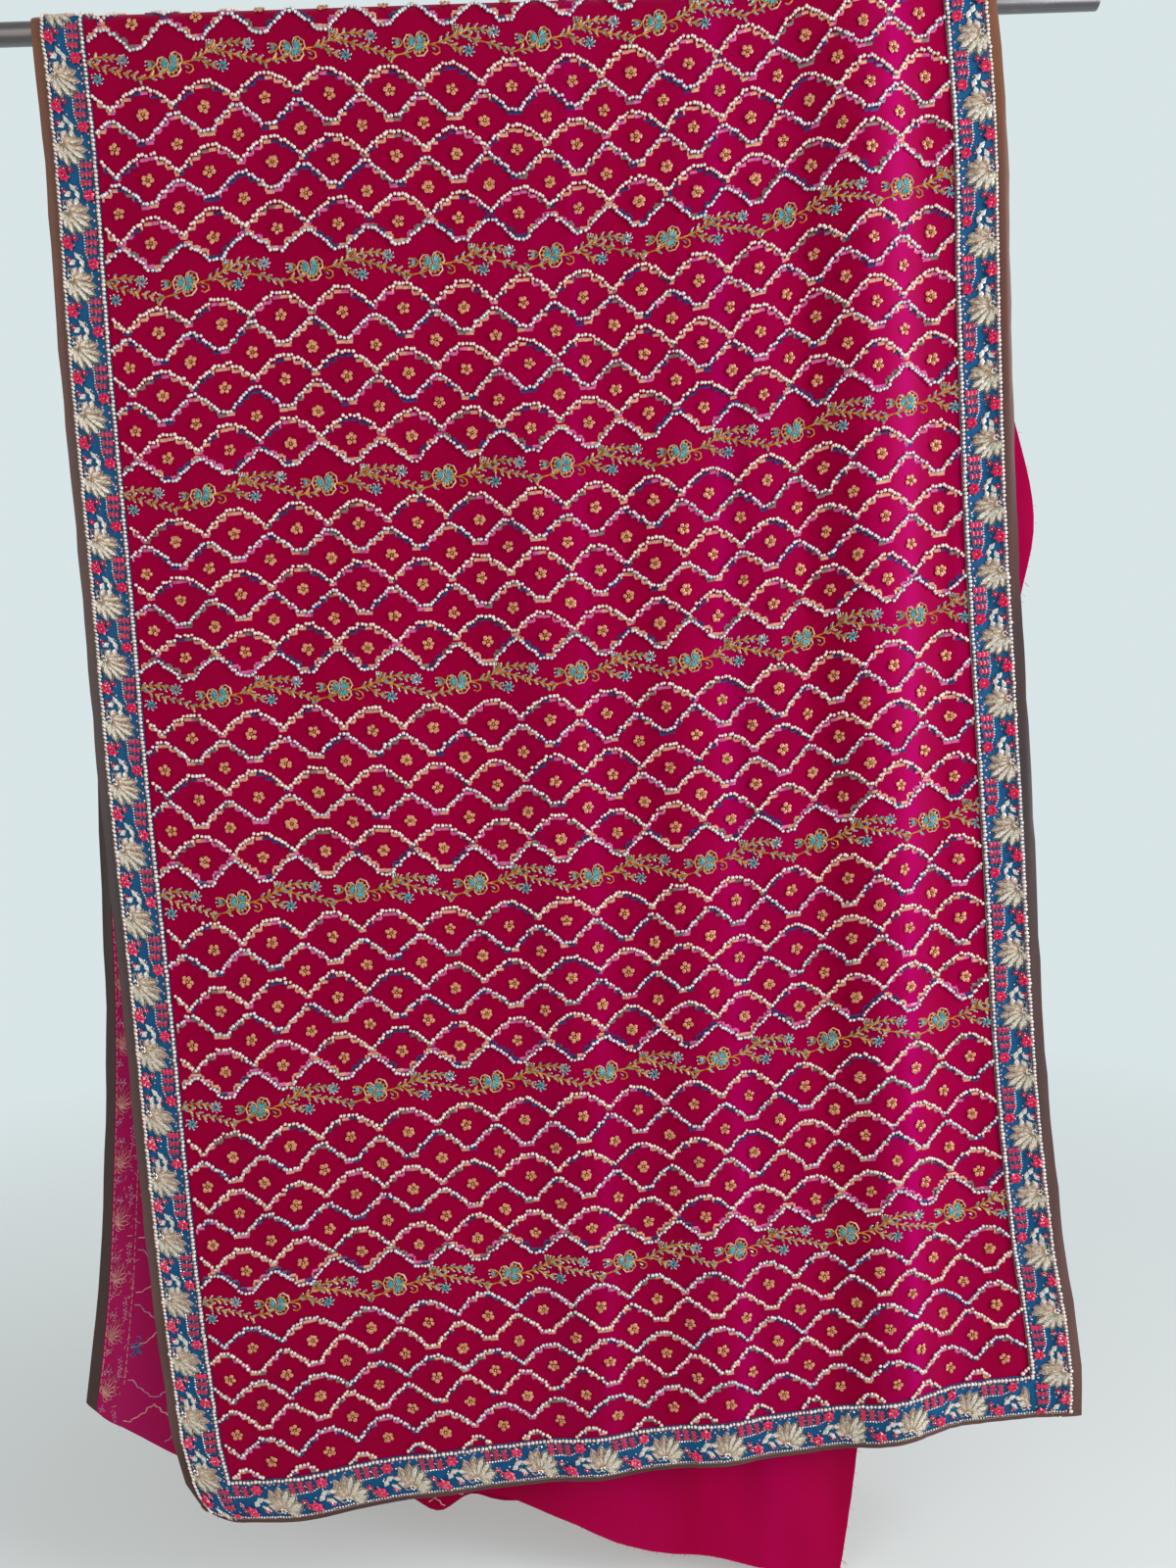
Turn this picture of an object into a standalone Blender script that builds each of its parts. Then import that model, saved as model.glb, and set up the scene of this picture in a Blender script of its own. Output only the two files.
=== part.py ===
"""A beaded silk saree hanging over a plain steel rod.

The rod lies along +X with the centre of its left end face at the origin,
+Z is up, and the front of the cloth faces -Y. All sizes are in metres.

Every sheet is a grid of the same kind: columns run across the loom width and
rows run along the length, up the front fall, over the rod and down the back.
"""
import math
from collections import namedtuple

import bpy
import numpy as np
from mathutils import Vector

# Rod
ROD_DIAMETER = 0.025
ROD_LENGTH = 1.34
ROD_SIDES = 48

# Widths across the flat embroidered length
SAREE_WIDTH = 1.140
BINDING_WIDTH = 0.013
RIBBON_WIDTH = 0.050
END_BINDING_WIDTH = 0.007

# Thickness of each sheet, and the air between two of them
SAREE_THICKNESS = 0.0012
PLAIN_THICKNESS = 0.0010
RIBBON_THICKNESS = 0.0010
BINDING_THICKNESS = 0.0020
AIR = 0.0003
AIR_ON_ROD = 0.0005
AIR_OVER_PLAIN = 0.0004

# Radius of each middle surface where it goes over the rod
PLAIN_RADIUS = ROD_DIAMETER / 2 + AIR_ON_ROD + PLAIN_THICKNESS / 2
SAREE_RADIUS = PLAIN_RADIUS + PLAIN_THICKNESS / 2 + AIR_OVER_PLAIN + SAREE_THICKNESS / 2

# How finely the sheets are cut up
FIELD_COLUMNS = 30
PLAIN_COLUMNS = 18
OVER_ROWS = 10
FRONT_ROWS = 15
BACK_ROWS = 15
PLAIN_BACK_ROWS = 15
PLAIN_FRONT_ROWS = 3

# A point on a long edge: how far below the rod's centre, and where along the rod
Edge = namedtuple("Edge", "down x")
FRONT_LEFT = (
    Edge(0.000, 0.120), Edge(0.134, 0.127), Edge(0.379, 0.130), Edge(0.611, 0.137),
    Edge(0.857, 0.142), Edge(1.152, 0.154), Edge(1.351, 0.160), Edge(1.598, 0.173),
    Edge(1.706, 0.184), Edge(1.760, 0.200), Edge(1.782, 0.216),
)
FRONT_RIGHT = (
    Edge(0.000, 1.220), Edge(0.128, 1.229), Edge(0.328, 1.231), Edge(0.617, 1.239),
    Edge(0.920, 1.255), Edge(1.264, 1.272), Edge(1.462, 1.291), Edge(1.649, 1.314),
    Edge(1.691, 1.313),
)
BACK_LEFT = (
    Edge(0.000, 0.120), Edge(0.300, 0.128), Edge(0.600, 0.130), Edge(0.952, 0.118),
    Edge(1.163, 0.112), Edge(1.366, 0.095), Edge(1.481, 0.082), Edge(1.572, 0.068),
    Edge(1.666, 0.051),
)
BACK_RIGHT = (
    Edge(0.000, 1.220), Edge(0.300, 1.218), Edge(0.600, 1.212), Edge(0.950, 1.200),
    Edge(1.300, 1.190), Edge(1.666, 1.170),
)
PLAIN_LEFT = (
    Edge(0.000, 0.200), Edge(0.600, 0.250), Edge(1.200, 0.235), Edge(1.720, 0.225),
)
PLAIN_RIGHT = (
    Edge(0.000, 1.190), Edge(0.250, 1.197), Edge(0.370, 1.218), Edge(0.468, 1.248),
    Edge(0.599, 1.271), Edge(0.680, 1.254), Edge(0.950, 1.200), Edge(1.300, 1.126),
    Edge(1.749, 1.044), Edge(1.864, 1.028), Edge(1.918, 1.018),
)

# A point on an end edge: share of the width from the left, and how far below the rod
End = namedtuple("End", "across down")
FRONT_END = (
    End(0.00, 1.782), End(0.03, 1.797), End(0.06, 1.799), End(0.25, 1.773),
    End(0.48, 1.751), End(0.70, 1.730), End(0.87, 1.702), End(1.00, 1.691),
)
BACK_END = (
    End(0.000, 1.666), End(0.021, 1.689), End(0.048, 1.701), End(0.102, 1.736),
    End(0.372, 1.805), End(0.400, 1.824), End(0.440, 1.806), End(0.470, 1.815),
    End(0.508, 1.813), End(0.660, 1.795), End(0.845, 1.728), End(1.000, 1.666),
)
PLAIN_END = (
    End(0.00, 1.720), End(0.30, 1.775), End(0.50, 1.815), End(0.56, 1.837),
    End(0.63, 1.866), End(0.71, 1.883), End(0.81, 1.897), End(0.87, 1.910),
    End(1.00, 1.918),
)
PLAIN_FRONT_DOWN = 0.300

# A fold running down a fall: its crest at the rod and at the end (metres along the rod),
# its half width, how far the crest stands out, and the drops between which it shows
Fold = namedtuple("Fold", "x_top x_end half height from_down to_down")
FRONT_FOLDS = (
    Fold(1.060, 1.085, 0.085, 0.017, -0.10, 9.00),
    Fold(0.930, 0.965, 0.050, 0.004, 0.15, 1.10),
    Fold(0.815, 0.870, 0.062, 0.007, 0.35, 9.00),
    Fold(0.655, 0.715, 0.066, 0.008, 0.30, 9.00),
    Fold(0.480, 0.520, 0.060, 0.003, 0.40, 9.00),
    Fold(0.300, 0.345, 0.070, 0.004, 0.30, 9.00),
    Fold(1.215, 1.310, 0.050, 0.005, 0.10, 9.00),
)
BACK_FOLDS = (
    Fold(1.060, 1.010, 0.085, 0.010, -0.10, 9.00),
    Fold(0.820, 0.780, 0.080, 0.008, 0.25, 9.00),
    Fold(0.600, 0.560, 0.060, 0.006, 0.40, 9.00),
    Fold(0.340, 0.300, 0.080, 0.009, 0.30, 9.00),
    Fold(0.120, 0.060, 0.060, 0.008, 0.30, 9.00),
)
PLAIN_FOLDS = (
    Fold(1.180, 1.030, 0.060, 0.006, 0.30, 9.00),
    Fold(0.980, 0.880, 0.090, 0.005, 0.20, 9.00),
    Fold(0.620, 0.580, 0.090, 0.004, 0.30, 9.00),
)

# How far each fall swings away from the rod's side once it is clear of the rod
Swing = namedtuple("Swing", "out over")
FRONT_SWING = Swing(0.004, 0.25)
BACK_SWING = Swing(0.011, 0.20)
PLAIN_SWING = Swing(0.001, 0.30)

# The drop over which a fold grows from nothing, or fades out
FADE = 0.25

# Shading edges sharper than this stay sharp
SHARP = math.radians(50)

# Where a row lies: fall is "front", "over" or "back", share runs 0 to 1 down or over it
Row = namedtuple("Row", "fall share")

Cloth = namedtuple(
    "Cloth",
    "radius front_left front_right front_end front_folds front_swing"
    " back_left back_right back_end back_folds back_swing",
)


def smooth(value):
    """Ease from 0 to 1."""
    value = min(max(value, 0.0), 1.0)
    return value * value * (3.0 - 2.0 * value)


def curve(table, at):
    """Read the second column of a table at a value of its first, with rounded bends."""
    keys = [row[0] for row in table]
    values = [row[1] for row in table]
    slopes = np.gradient(values, keys)
    at = min(max(at, keys[0]), keys[-1])
    i = min(int(np.searchsorted(keys, at, side="right")) - 1, len(keys) - 2)
    span = keys[i + 1] - keys[i]
    t = (at - keys[i]) / span
    start = (1 + 2 * t) * (1 - t) ** 2 * values[i] + t * (1 - t) ** 2 * span * slopes[i]
    end = t * t * (3 - 2 * t) * values[i + 1] - t * t * (1 - t) * span * slopes[i + 1]
    return start + end


def fold_lift(folds, x, down):
    """How far the folds stand out from the plain hanging sheet."""
    lift = 0.0
    for fold in folds:
        crest = fold.x_top + (fold.x_end - fold.x_top) * down / FRONT_LEFT[-1].down
        beside = abs(x - crest) / fold.half
        if beside < 1.0:
            shape = 0.5 + 0.5 * math.cos(math.pi * beside)
            grow = smooth((down - fold.from_down) / FADE)
            fade = smooth((fold.to_down - down) / FADE)
            lift += fold.height * shape * grow * fade
    return lift


def fall_point(cloth, side, across, share):
    """A point of the front (side -1) or back (side +1) fall."""
    if side < 0:
        left, right, end = cloth.front_left, cloth.front_right, cloth.front_end
        folds, swing = cloth.front_folds, cloth.front_swing
    else:
        left, right, end = cloth.back_left, cloth.back_right, cloth.back_end
        folds, swing = cloth.back_folds, cloth.back_swing
    x_left = curve(left, share * left[-1].down)
    x_right = curve(right, share * right[-1].down)
    x = x_left + (x_right - x_left) * across
    down = share * curve(end, across)
    out = cloth.radius + swing.out * smooth(down / swing.over)
    out += fold_lift(folds, x, down)
    return Vector((x, side * out, -down))


def cloth_point(cloth, across, row):
    """A point of the sheet's middle surface."""
    if row.fall == "front":
        return fall_point(cloth, -1, across, row.share)
    if row.fall == "back":
        return fall_point(cloth, 1, across, row.share)
    front = fall_point(cloth, -1, across, 0.0)
    back = fall_point(cloth, 1, across, 0.0)
    radius = -front.y + (back.y + front.y) * row.share
    turn = math.pi * row.share
    x = front.x + (back.x - front.x) * row.share
    return Vector((x, -radius * math.cos(turn), radius * math.sin(turn)))


def cloth_normal(cloth, across, row):
    """The way the sheet's outer face looks."""
    side_step = 0.002
    here = cloth_point(cloth, across, row)
    right = cloth_point(cloth, across + side_step, row)
    left = cloth_point(cloth, across - side_step, row)
    if row.fall == "over":
        turn = math.pi * row.share
        down_cloth = Vector((0.0, math.sin(turn), math.cos(turn)))
    else:
        step = 0.01
        near = Row(row.fall, max(row.share - step, 0.0))
        far = Row(row.fall, min(row.share + step, 1.0))
        down_cloth = cloth_point(cloth, across, far) - cloth_point(cloth, across, near)
        if row.fall == "front":
            down_cloth = -down_cloth
    normal = (right - left).cross(down_cloth).normalized()
    outward = Vector((0.0, here.y, max(here.z, 0.0)))
    return normal if normal.dot(outward) > 0 else -normal


def sheet_rows(front_shares, back_shares):
    """Rows from the front end, over the rod, to the back end."""
    rows = [Row("front", share) for share in reversed(front_shares)]
    rows += [Row("over", step / OVER_ROWS) for step in range(OVER_ROWS + 1)]
    rows += [Row("back", share) for share in back_shares]
    return rows


def steps(start, stop, count):
    """Evenly spaced values from start to stop, both included."""
    return [start + (stop - start) * i / count for i in range(count + 1)]


def add_sheet(name, cloth, columns, rows, inner, outer, material):
    """Build one closed sheet between two offsets from the cloth's middle surface."""
    points = []
    for offset in (outer, inner):
        for row in rows:
            for across in columns:
                point = cloth_point(cloth, across, row)
                points.append(point + cloth_normal(cloth, across, row) * offset)
    wide = len(columns)
    long = len(rows)
    layer = wide * long
    faces = []
    for r in range(long - 1):
        for c in range(wide - 1):
            a = r * wide + c
            b = a + 1
            d = a + wide
            e = d + 1
            faces += [(a, b, e), (a, e, d)]
            faces += [(layer + a, layer + e, layer + b), (layer + a, layer + d, layer + e)]
    rim = list(range(wide))
    rim += [r * wide + wide - 1 for r in range(1, long)]
    rim += [(long - 1) * wide + c for c in range(wide - 2, -1, -1)]
    rim += [r * wide for r in range(long - 2, 0, -1)]
    for i, a in enumerate(rim):
        b = rim[(i + 1) % len(rim)]
        faces += [(b, a, layer + a), (b, layer + a, layer + b)]
    mesh = bpy.data.meshes.new(name)
    mesh.from_pydata([tuple(point) for point in points], [], faces)
    mesh.shade_smooth()
    mesh.set_sharp_from_angle(angle=SHARP)
    mesh.materials.append(material)
    piece = bpy.data.objects.new(name, mesh)
    bpy.context.collection.objects.link(piece)
    return piece


def add_material(name, colour, roughness, metallic):
    """A Principled material; the colour is linear red, green and blue."""
    material = bpy.data.materials.new(name)
    material.use_nodes = True
    shader = material.node_tree.nodes["Principled BSDF"]
    shader.inputs["Base Color"].default_value = (*colour, 1.0)
    shader.inputs["Roughness"].default_value = roughness
    shader.inputs["Metallic"].default_value = metallic
    return material


def add_rod(material):
    """The plain tube, closed at both ends."""
    bpy.ops.mesh.primitive_cylinder_add(
        vertices=ROD_SIDES,
        radius=ROD_DIAMETER / 2,
        depth=ROD_LENGTH,
        location=(ROD_LENGTH / 2, 0.0, 0.0),
        rotation=(0.0, math.pi / 2, 0.0),
    )
    rod = bpy.context.object
    rod.name = "rod"
    rod.data.name = "rod"
    rod.data.shade_smooth()
    rod.data.set_sharp_from_angle(angle=SHARP)
    rod.data.materials.append(material)
    return rod


def clear_scene():
    """Remove whatever the file starts with."""
    for thing in list(bpy.data.objects):
        bpy.data.objects.remove(thing)


def build():
    """Make every piece."""
    clear_scene()
    silk = add_material("embroidered_silk", (0.38, 0.002, 0.075), 0.42, 0.0)
    plain_silk = add_material("plain_silk", (0.50, 0.002, 0.105), 0.40, 0.0)
    ribbon = add_material("ribbon_ground", (0.005, 0.13, 0.32), 0.55, 0.1)
    binding = add_material("binding_silk", (0.12, 0.060, 0.055), 0.45, 0.0)
    steel = add_material("brushed_steel", (0.42, 0.39, 0.40), 0.32, 1.0)

    add_rod(steel)

    saree = Cloth(
        SAREE_RADIUS, FRONT_LEFT, FRONT_RIGHT, FRONT_END, FRONT_FOLDS, FRONT_SWING,
        BACK_LEFT, BACK_RIGHT, BACK_END, BACK_FOLDS, BACK_SWING,
    )
    flap_edge = (End(0.0, PLAIN_FRONT_DOWN), End(1.0, PLAIN_FRONT_DOWN))
    flap_left = (Edge(0.0, PLAIN_LEFT[0].x), Edge(PLAIN_FRONT_DOWN, PLAIN_LEFT[0].x))
    flap_right = (Edge(0.0, PLAIN_RIGHT[0].x), Edge(PLAIN_FRONT_DOWN, PLAIN_RIGHT[0].x))
    plain = Cloth(
        PLAIN_RADIUS, flap_left, flap_right, flap_edge, (), Swing(0.0, 1.0),
        PLAIN_LEFT, PLAIN_RIGHT, PLAIN_END, PLAIN_FOLDS, PLAIN_SWING,
    )

    # Shares of the width where one strip ends and the next begins
    binding_share = BINDING_WIDTH / SAREE_WIDTH
    ribbon_share = (BINDING_WIDTH + RIBBON_WIDTH) / SAREE_WIDTH
    air_share = AIR / SAREE_WIDTH
    left_binding = [0.0, binding_share]
    left_ribbon = [binding_share + air_share, ribbon_share]
    field = steps(ribbon_share, 1.0 - ribbon_share, FIELD_COLUMNS)
    right_ribbon = [1.0 - ribbon_share, 1.0 - binding_share - air_share]
    right_binding = [1.0 - binding_share, 1.0]
    cloth_columns = left_ribbon[:1] + field + right_ribbon[1:]

    # Shares of the front fall, from the rod down, where the end strips begin
    fall_length = FRONT_END[len(FRONT_END) // 2].down
    end_binding_share = 1.0 - END_BINDING_WIDTH / fall_length
    end_ribbon_share = 1.0 - (END_BINDING_WIDTH + RIBBON_WIDTH) / fall_length
    end_air_share = AIR / fall_length
    front_shares = steps(0.0, end_ribbon_share, FRONT_ROWS)[1:]
    cloth_end = end_binding_share - end_air_share
    back_shares = steps(0.0, 1.0, BACK_ROWS)[1:]

    half = SAREE_THICKNESS / 2
    cloth_rows = sheet_rows(front_shares + [cloth_end], back_shares)
    add_sheet("saree_cloth", saree, cloth_columns, cloth_rows, -half, half, silk)

    # The side strips run the whole length, the end ones between them
    ribbon_in = half + AIR
    ribbon_out = ribbon_in + RIBBON_THICKNESS
    add_sheet("ribbon_left", saree, left_ribbon, cloth_rows, ribbon_in, ribbon_out, ribbon)
    add_sheet("ribbon_right", saree, right_ribbon, cloth_rows, ribbon_in, ribbon_out, ribbon)
    end_field = [field[0] + air_share] + field[1:-1] + [field[-1] - air_share]
    end_rows = [Row("front", cloth_end), Row("front", end_ribbon_share)]
    add_sheet("ribbon_bottom", saree, end_field, end_rows, ribbon_in, ribbon_out, ribbon)

    thick = BINDING_THICKNESS / 2
    add_sheet("binding_left", saree, left_binding, cloth_rows, -thick, thick, binding)
    add_sheet("binding_right", saree, right_binding, cloth_rows, -thick, thick, binding)
    end_columns = [0.0, binding_share] + field + [1.0 - binding_share, 1.0]
    end_binding_rows = [Row("front", 1.0), Row("front", end_binding_share)]
    add_sheet("binding_bottom", saree, end_columns, end_binding_rows, -thick, thick, binding)

    plain_columns = steps(0.0, 1.0, PLAIN_COLUMNS)
    plain_front = steps(0.0, 1.0, PLAIN_FRONT_ROWS)[1:]
    plain_back = steps(0.0, 1.0, PLAIN_BACK_ROWS)[1:]
    plain_half = PLAIN_THICKNESS / 2
    plain_rows = sheet_rows(plain_front, plain_back)
    add_sheet("plain_length", plain, plain_columns, plain_rows, -plain_half, plain_half, plain_silk)


build()
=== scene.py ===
# %% [markdown]
# A beaded silk saree hanging over a steel rod.
#
# The cloth is a thin sheet that hangs from the rod in soft folds. All of its
# beadwork is laid out flat first, the way it is worked on an embroidery frame:
# u runs across the loom width from the left edge, v runs along the length from
# the front end, and height stands off the cloth. One function then hangs any
# flat point on the folds, so beads, threads and silk always stay together.

# %% Load the frame
import math

import bpy
import numpy as np
from mathutils import Euler, Matrix, Vector


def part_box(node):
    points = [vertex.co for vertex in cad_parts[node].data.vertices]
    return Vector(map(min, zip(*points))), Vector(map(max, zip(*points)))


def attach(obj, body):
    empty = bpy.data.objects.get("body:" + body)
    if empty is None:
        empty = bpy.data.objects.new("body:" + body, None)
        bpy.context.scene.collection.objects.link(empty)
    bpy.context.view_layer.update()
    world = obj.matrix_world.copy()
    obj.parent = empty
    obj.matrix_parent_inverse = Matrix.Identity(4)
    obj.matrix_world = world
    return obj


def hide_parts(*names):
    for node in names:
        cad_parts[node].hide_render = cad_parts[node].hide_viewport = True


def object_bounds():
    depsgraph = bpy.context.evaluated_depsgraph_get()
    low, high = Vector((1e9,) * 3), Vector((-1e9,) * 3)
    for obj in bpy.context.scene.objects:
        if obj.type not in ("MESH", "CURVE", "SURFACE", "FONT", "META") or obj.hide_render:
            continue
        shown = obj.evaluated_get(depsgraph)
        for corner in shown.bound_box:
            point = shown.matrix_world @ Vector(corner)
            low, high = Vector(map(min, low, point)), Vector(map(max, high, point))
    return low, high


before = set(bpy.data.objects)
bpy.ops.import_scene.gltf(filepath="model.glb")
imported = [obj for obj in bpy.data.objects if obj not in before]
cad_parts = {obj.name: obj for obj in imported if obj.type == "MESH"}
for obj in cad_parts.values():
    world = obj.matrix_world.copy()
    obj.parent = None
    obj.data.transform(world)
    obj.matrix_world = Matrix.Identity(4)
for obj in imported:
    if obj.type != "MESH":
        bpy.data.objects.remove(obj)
CAD_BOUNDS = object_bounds()
MM = 0.001
rng = np.random.default_rng(11)
print("frame box", CAD_BOUNDS)

# %% [markdown]
# The camera comes first, because it decides what has to look good. It stands at
# the middle of the cloth, about 1.4 m away, tips a little down and rolls a little.

# %% Camera
CAMERA_PLACE = (0.7256, -1.42, -0.771)
CAMERA_TILT_DOWN = math.radians(4.6)
CAMERA_ROLL = math.radians(1.9)
CAMERA_LENS = 27.05

camera = bpy.data.objects.new("camera", bpy.data.cameras.new("camera"))
bpy.context.scene.collection.objects.link(camera)
turn = Euler((math.pi / 2 - CAMERA_TILT_DOWN, 0.0, 0.0)).to_matrix().to_4x4()
roll = Matrix.Rotation(-CAMERA_ROLL, 4, "Z")
camera.matrix_world = Matrix.Translation(CAMERA_PLACE) @ turn @ roll
camera.data.lens = CAMERA_LENS
bpy.context.scene.camera = camera
bpy.context.scene.view_settings.view_transform = "Standard"
print("camera at", CAMERA_PLACE)

# %% [markdown]
# The hang of the cloth. Short tables say where its edges run, how far down its
# ends reach and where its folds are, in metres. They are the same as the solid's,
# so the thin sheet lies inside the solid that it replaces.

# %% Sizes and tables of the hang
ROD_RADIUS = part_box("rod")[1][2]
ROD_LENGTH = 1.34
SAREE_WIDTH = 1.140
BINDING_WIDTH = 0.013
RIBBON_WIDTH = 0.050
END_BINDING_WIDTH = 0.007
SAREE_THICKNESS = 0.0012
PLAIN_THICKNESS = 0.0010
ROD_AIR = 0.0005
CLOTH_AIR = 0.0004
PLAIN_RADIUS = ROD_RADIUS + ROD_AIR + PLAIN_THICKNESS / 2
SAREE_RADIUS = PLAIN_RADIUS + PLAIN_THICKNESS / 2 + CLOTH_AIR + SAREE_THICKNESS / 2

# Long edges: (how far below the rod, where along the rod)
FRONT_LEFT = (
    (0.000, 0.120), (0.134, 0.127), (0.379, 0.130), (0.611, 0.137), (0.857, 0.142), (1.152, 0.154),
    (1.351, 0.160), (1.598, 0.173), (1.706, 0.184), (1.760, 0.200), (1.782, 0.216),
)
FRONT_RIGHT = (
    (0.000, 1.220), (0.128, 1.229), (0.328, 1.231), (0.617, 1.239), (0.920, 1.255), (1.264, 1.272),
    (1.462, 1.291), (1.649, 1.314), (1.691, 1.313),
)
BACK_LEFT = (
    (0.000, 0.120), (0.300, 0.128), (0.600, 0.130), (0.952, 0.118), (1.163, 0.112), (1.366, 0.095),
    (1.481, 0.082), (1.572, 0.068), (1.666, 0.051),
)
BACK_RIGHT = (
    (0.000, 1.220), (0.300, 1.218), (0.600, 1.212), (0.950, 1.200), (1.300, 1.190), (1.666, 1.170),
)
PLAIN_LEFT = ((0.000, 0.200), (0.600, 0.250), (1.200, 0.235), (1.720, 0.225))
PLAIN_RIGHT = (
    (0.000, 1.190), (0.250, 1.197), (0.370, 1.218), (0.468, 1.248), (0.599, 1.271), (0.680, 1.254),
    (0.950, 1.200), (1.300, 1.126), (1.749, 1.044), (1.864, 1.028), (1.918, 1.018),
)

# Ends: (share of the width from the left, how far below the rod)
FRONT_END = (
    (0.00, 1.782), (0.03, 1.797), (0.06, 1.799), (0.25, 1.773), (0.48, 1.751), (0.70, 1.730),
    (0.87, 1.702), (1.00, 1.691),
)
BACK_END = (
    (0.000, 1.666), (0.021, 1.689), (0.048, 1.701), (0.102, 1.736), (0.372, 1.805), (0.400, 1.824),
    (0.440, 1.806), (0.470, 1.815), (0.508, 1.813), (0.660, 1.795), (0.845, 1.728), (1.000, 1.666),
)
PLAIN_END = (
    (0.00, 1.720), (0.30, 1.775), (0.50, 1.815), (0.56, 1.837), (0.63, 1.866), (0.71, 1.883),
    (0.81, 1.897), (0.87, 1.910), (1.00, 1.918),
)
PLAIN_FRONT_DOWN = 0.300

# Folds: (crest at the rod, crest at the end, half width, height, first drop, last drop).
# A fold rises over FOLD_FADE of drop, and dies away over as much
FOLD_FADE = 0.25
FRONT_FOLDS = (
    (1.060, 1.085, 0.085, 0.017, -0.10, 9.00), (0.930, 0.965, 0.050, 0.004, 0.15, 1.10),
    (0.815, 0.870, 0.062, 0.007, 0.35, 9.00), (0.655, 0.715, 0.066, 0.008, 0.30, 9.00),
    (0.480, 0.520, 0.060, 0.003, 0.40, 9.00), (0.300, 0.345, 0.070, 0.004, 0.30, 9.00),
    (1.215, 1.310, 0.050, 0.005, 0.10, 9.00),
)
BACK_FOLDS = (
    (1.060, 1.010, 0.085, 0.010, -0.10, 9.00), (0.820, 0.780, 0.080, 0.008, 0.25, 9.00),
    (0.600, 0.560, 0.060, 0.006, 0.40, 9.00), (0.340, 0.300, 0.080, 0.009, 0.30, 9.00),
    (0.120, 0.060, 0.060, 0.008, 0.30, 9.00),
)
PLAIN_FOLDS = (
    (1.180, 1.030, 0.060, 0.006, 0.30, 9.00), (0.980, 0.880, 0.090, 0.005, 0.20, 9.00),
    (0.620, 0.580, 0.090, 0.004, 0.30, 9.00),
)

# Swing: how far a fall stands off the rod's side, and over what drop it gets there
FRONT_SWING = (0.004, 0.25)
BACK_SWING = (0.011, 0.20)
PLAIN_SWING = (0.001, 0.30)

# Share of the length that the folds take up: (share of the width, slack)
SLACK = (
    (0.00, 0.002), (0.13, 0.003), (0.35, 0.013), (0.53, 0.020), (0.77, 0.016), (0.90, 0.012),
    (1.00, 0.010),
)
print("saree hangs on a radius of", round(SAREE_RADIUS, 5), "m")

# %% [markdown]
# A table is read with a smooth curve through its rows, and a fold is one hump of
# a cosine. Fine creases are a few long sine waves of under a millimetre: real
# silk is never quite flat between its folds.

# %% Functions of the hang
# Waves: (strength, turn for each metre across, turn for each metre down, start)
CREASE_WAVES = ((1.0, 391, -3.7, 1.2), (0.7, 148, 5.1, 0.0), (0.5, 9, 21, 0.0))
WANDERING_WAVE = 236
WANDER = 3.1
WANDER_TURN = 2.3
BUNCHED_FROM = 0.35
BUNCHED_SPAN = 0.5
CREASES_GROW_OVER = 0.12


def smooth(value):
    """Ease from 0 to 1."""
    value = np.clip(value, 0.0, 1.0)
    return value * value * (3.0 - 2.0 * value)


def curve(table, at):
    """Read the second column of a table at values of its first."""
    keys = np.array([row[0] for row in table])
    values = np.array([row[1] for row in table])
    slopes = np.gradient(values, keys)
    at = np.clip(at, keys[0], keys[-1])
    i = np.clip(np.searchsorted(keys, at, side="right") - 1, 0, len(keys) - 2)
    span = keys[i + 1] - keys[i]
    t = (at - keys[i]) / span
    start = (1 + 2 * t) * (1 - t) ** 2 * values[i] + t * (1 - t) ** 2 * span * slopes[i]
    end = t * t * (3 - 2 * t) * values[i + 1] - t * t * (1 - t) * span * slopes[i + 1]
    return start + end


def ripple(waves, across, down):
    """A sum of sine waves over a cloth."""
    total = 0.0
    for strength, turn_across, turn_down, start in waves:
        total = total + strength * np.sin(across * turn_across + down * turn_down + start)
    return total


def fold_lift(folds, x, down):
    """How far the folds stand out from the plain hanging sheet."""
    lift = np.zeros_like(x)
    for x_top, x_end, half, height, first, last in folds:
        crest = x_top + (x_end - x_top) * down / FRONT_LEFT[-1][0]
        shape = 0.5 + 0.5 * np.cos(np.pi * np.clip(np.abs(x - crest) / half, 0.0, 1.0))
        lift += height * shape * smooth((down - first) / FOLD_FADE) * smooth((last - down) / FOLD_FADE)
    return lift


def creases(x, down, size):
    """Fine long creases, stronger to the right where the cloth is bunched."""
    wandering = np.sin(x * WANDERING_WAVE + WANDER * np.sin(down * WANDER_TURN))
    bunched = 0.35 + 0.65 * smooth((x - BUNCHED_FROM) / BUNCHED_SPAN)
    return size * (wandering + ripple(CREASE_WAVES, x, down)) * bunched * smooth(down / CREASES_GROW_OVER)


def fall(radius, left, right, end, folds, swing, crease, across, share):
    """Where a point of a fall is: along the rod, out from it, and below it."""
    x_left = curve(left, share * left[-1][0])
    x_right = curve(right, share * right[-1][0])
    x = x_left + (x_right - x_left) * across
    down = share * curve(end, across)
    out = radius + swing[0] * smooth(down / swing[1]) + fold_lift(folds, x, down)
    return x, out + creases(x, down, crease), down


def join_falls(front, back, front_share, over_share, back_share):
    """Points of a whole cloth: its two falls, and the half turn over the rod between them."""
    (front_x, front_out, front_down), (back_x, back_out, back_down) = front, back
    radius = front_out + (back_out - front_out) * over_share
    x = front_x + (back_x - front_x) * over_share
    angle = np.pi * over_share
    over = np.stack([x, -radius * np.cos(angle), radius * np.sin(angle)], -1)
    before = np.stack([front_x, -front_out, -front_down], -1)
    behind = np.stack([back_x, back_out, -back_down], -1)
    point = np.where((front_share > 0)[..., None], before, over)
    return np.where((back_share > 0)[..., None], behind, point)


print("a crest of the main fold stands out", FRONT_FOLDS[0][3], "m")

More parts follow.
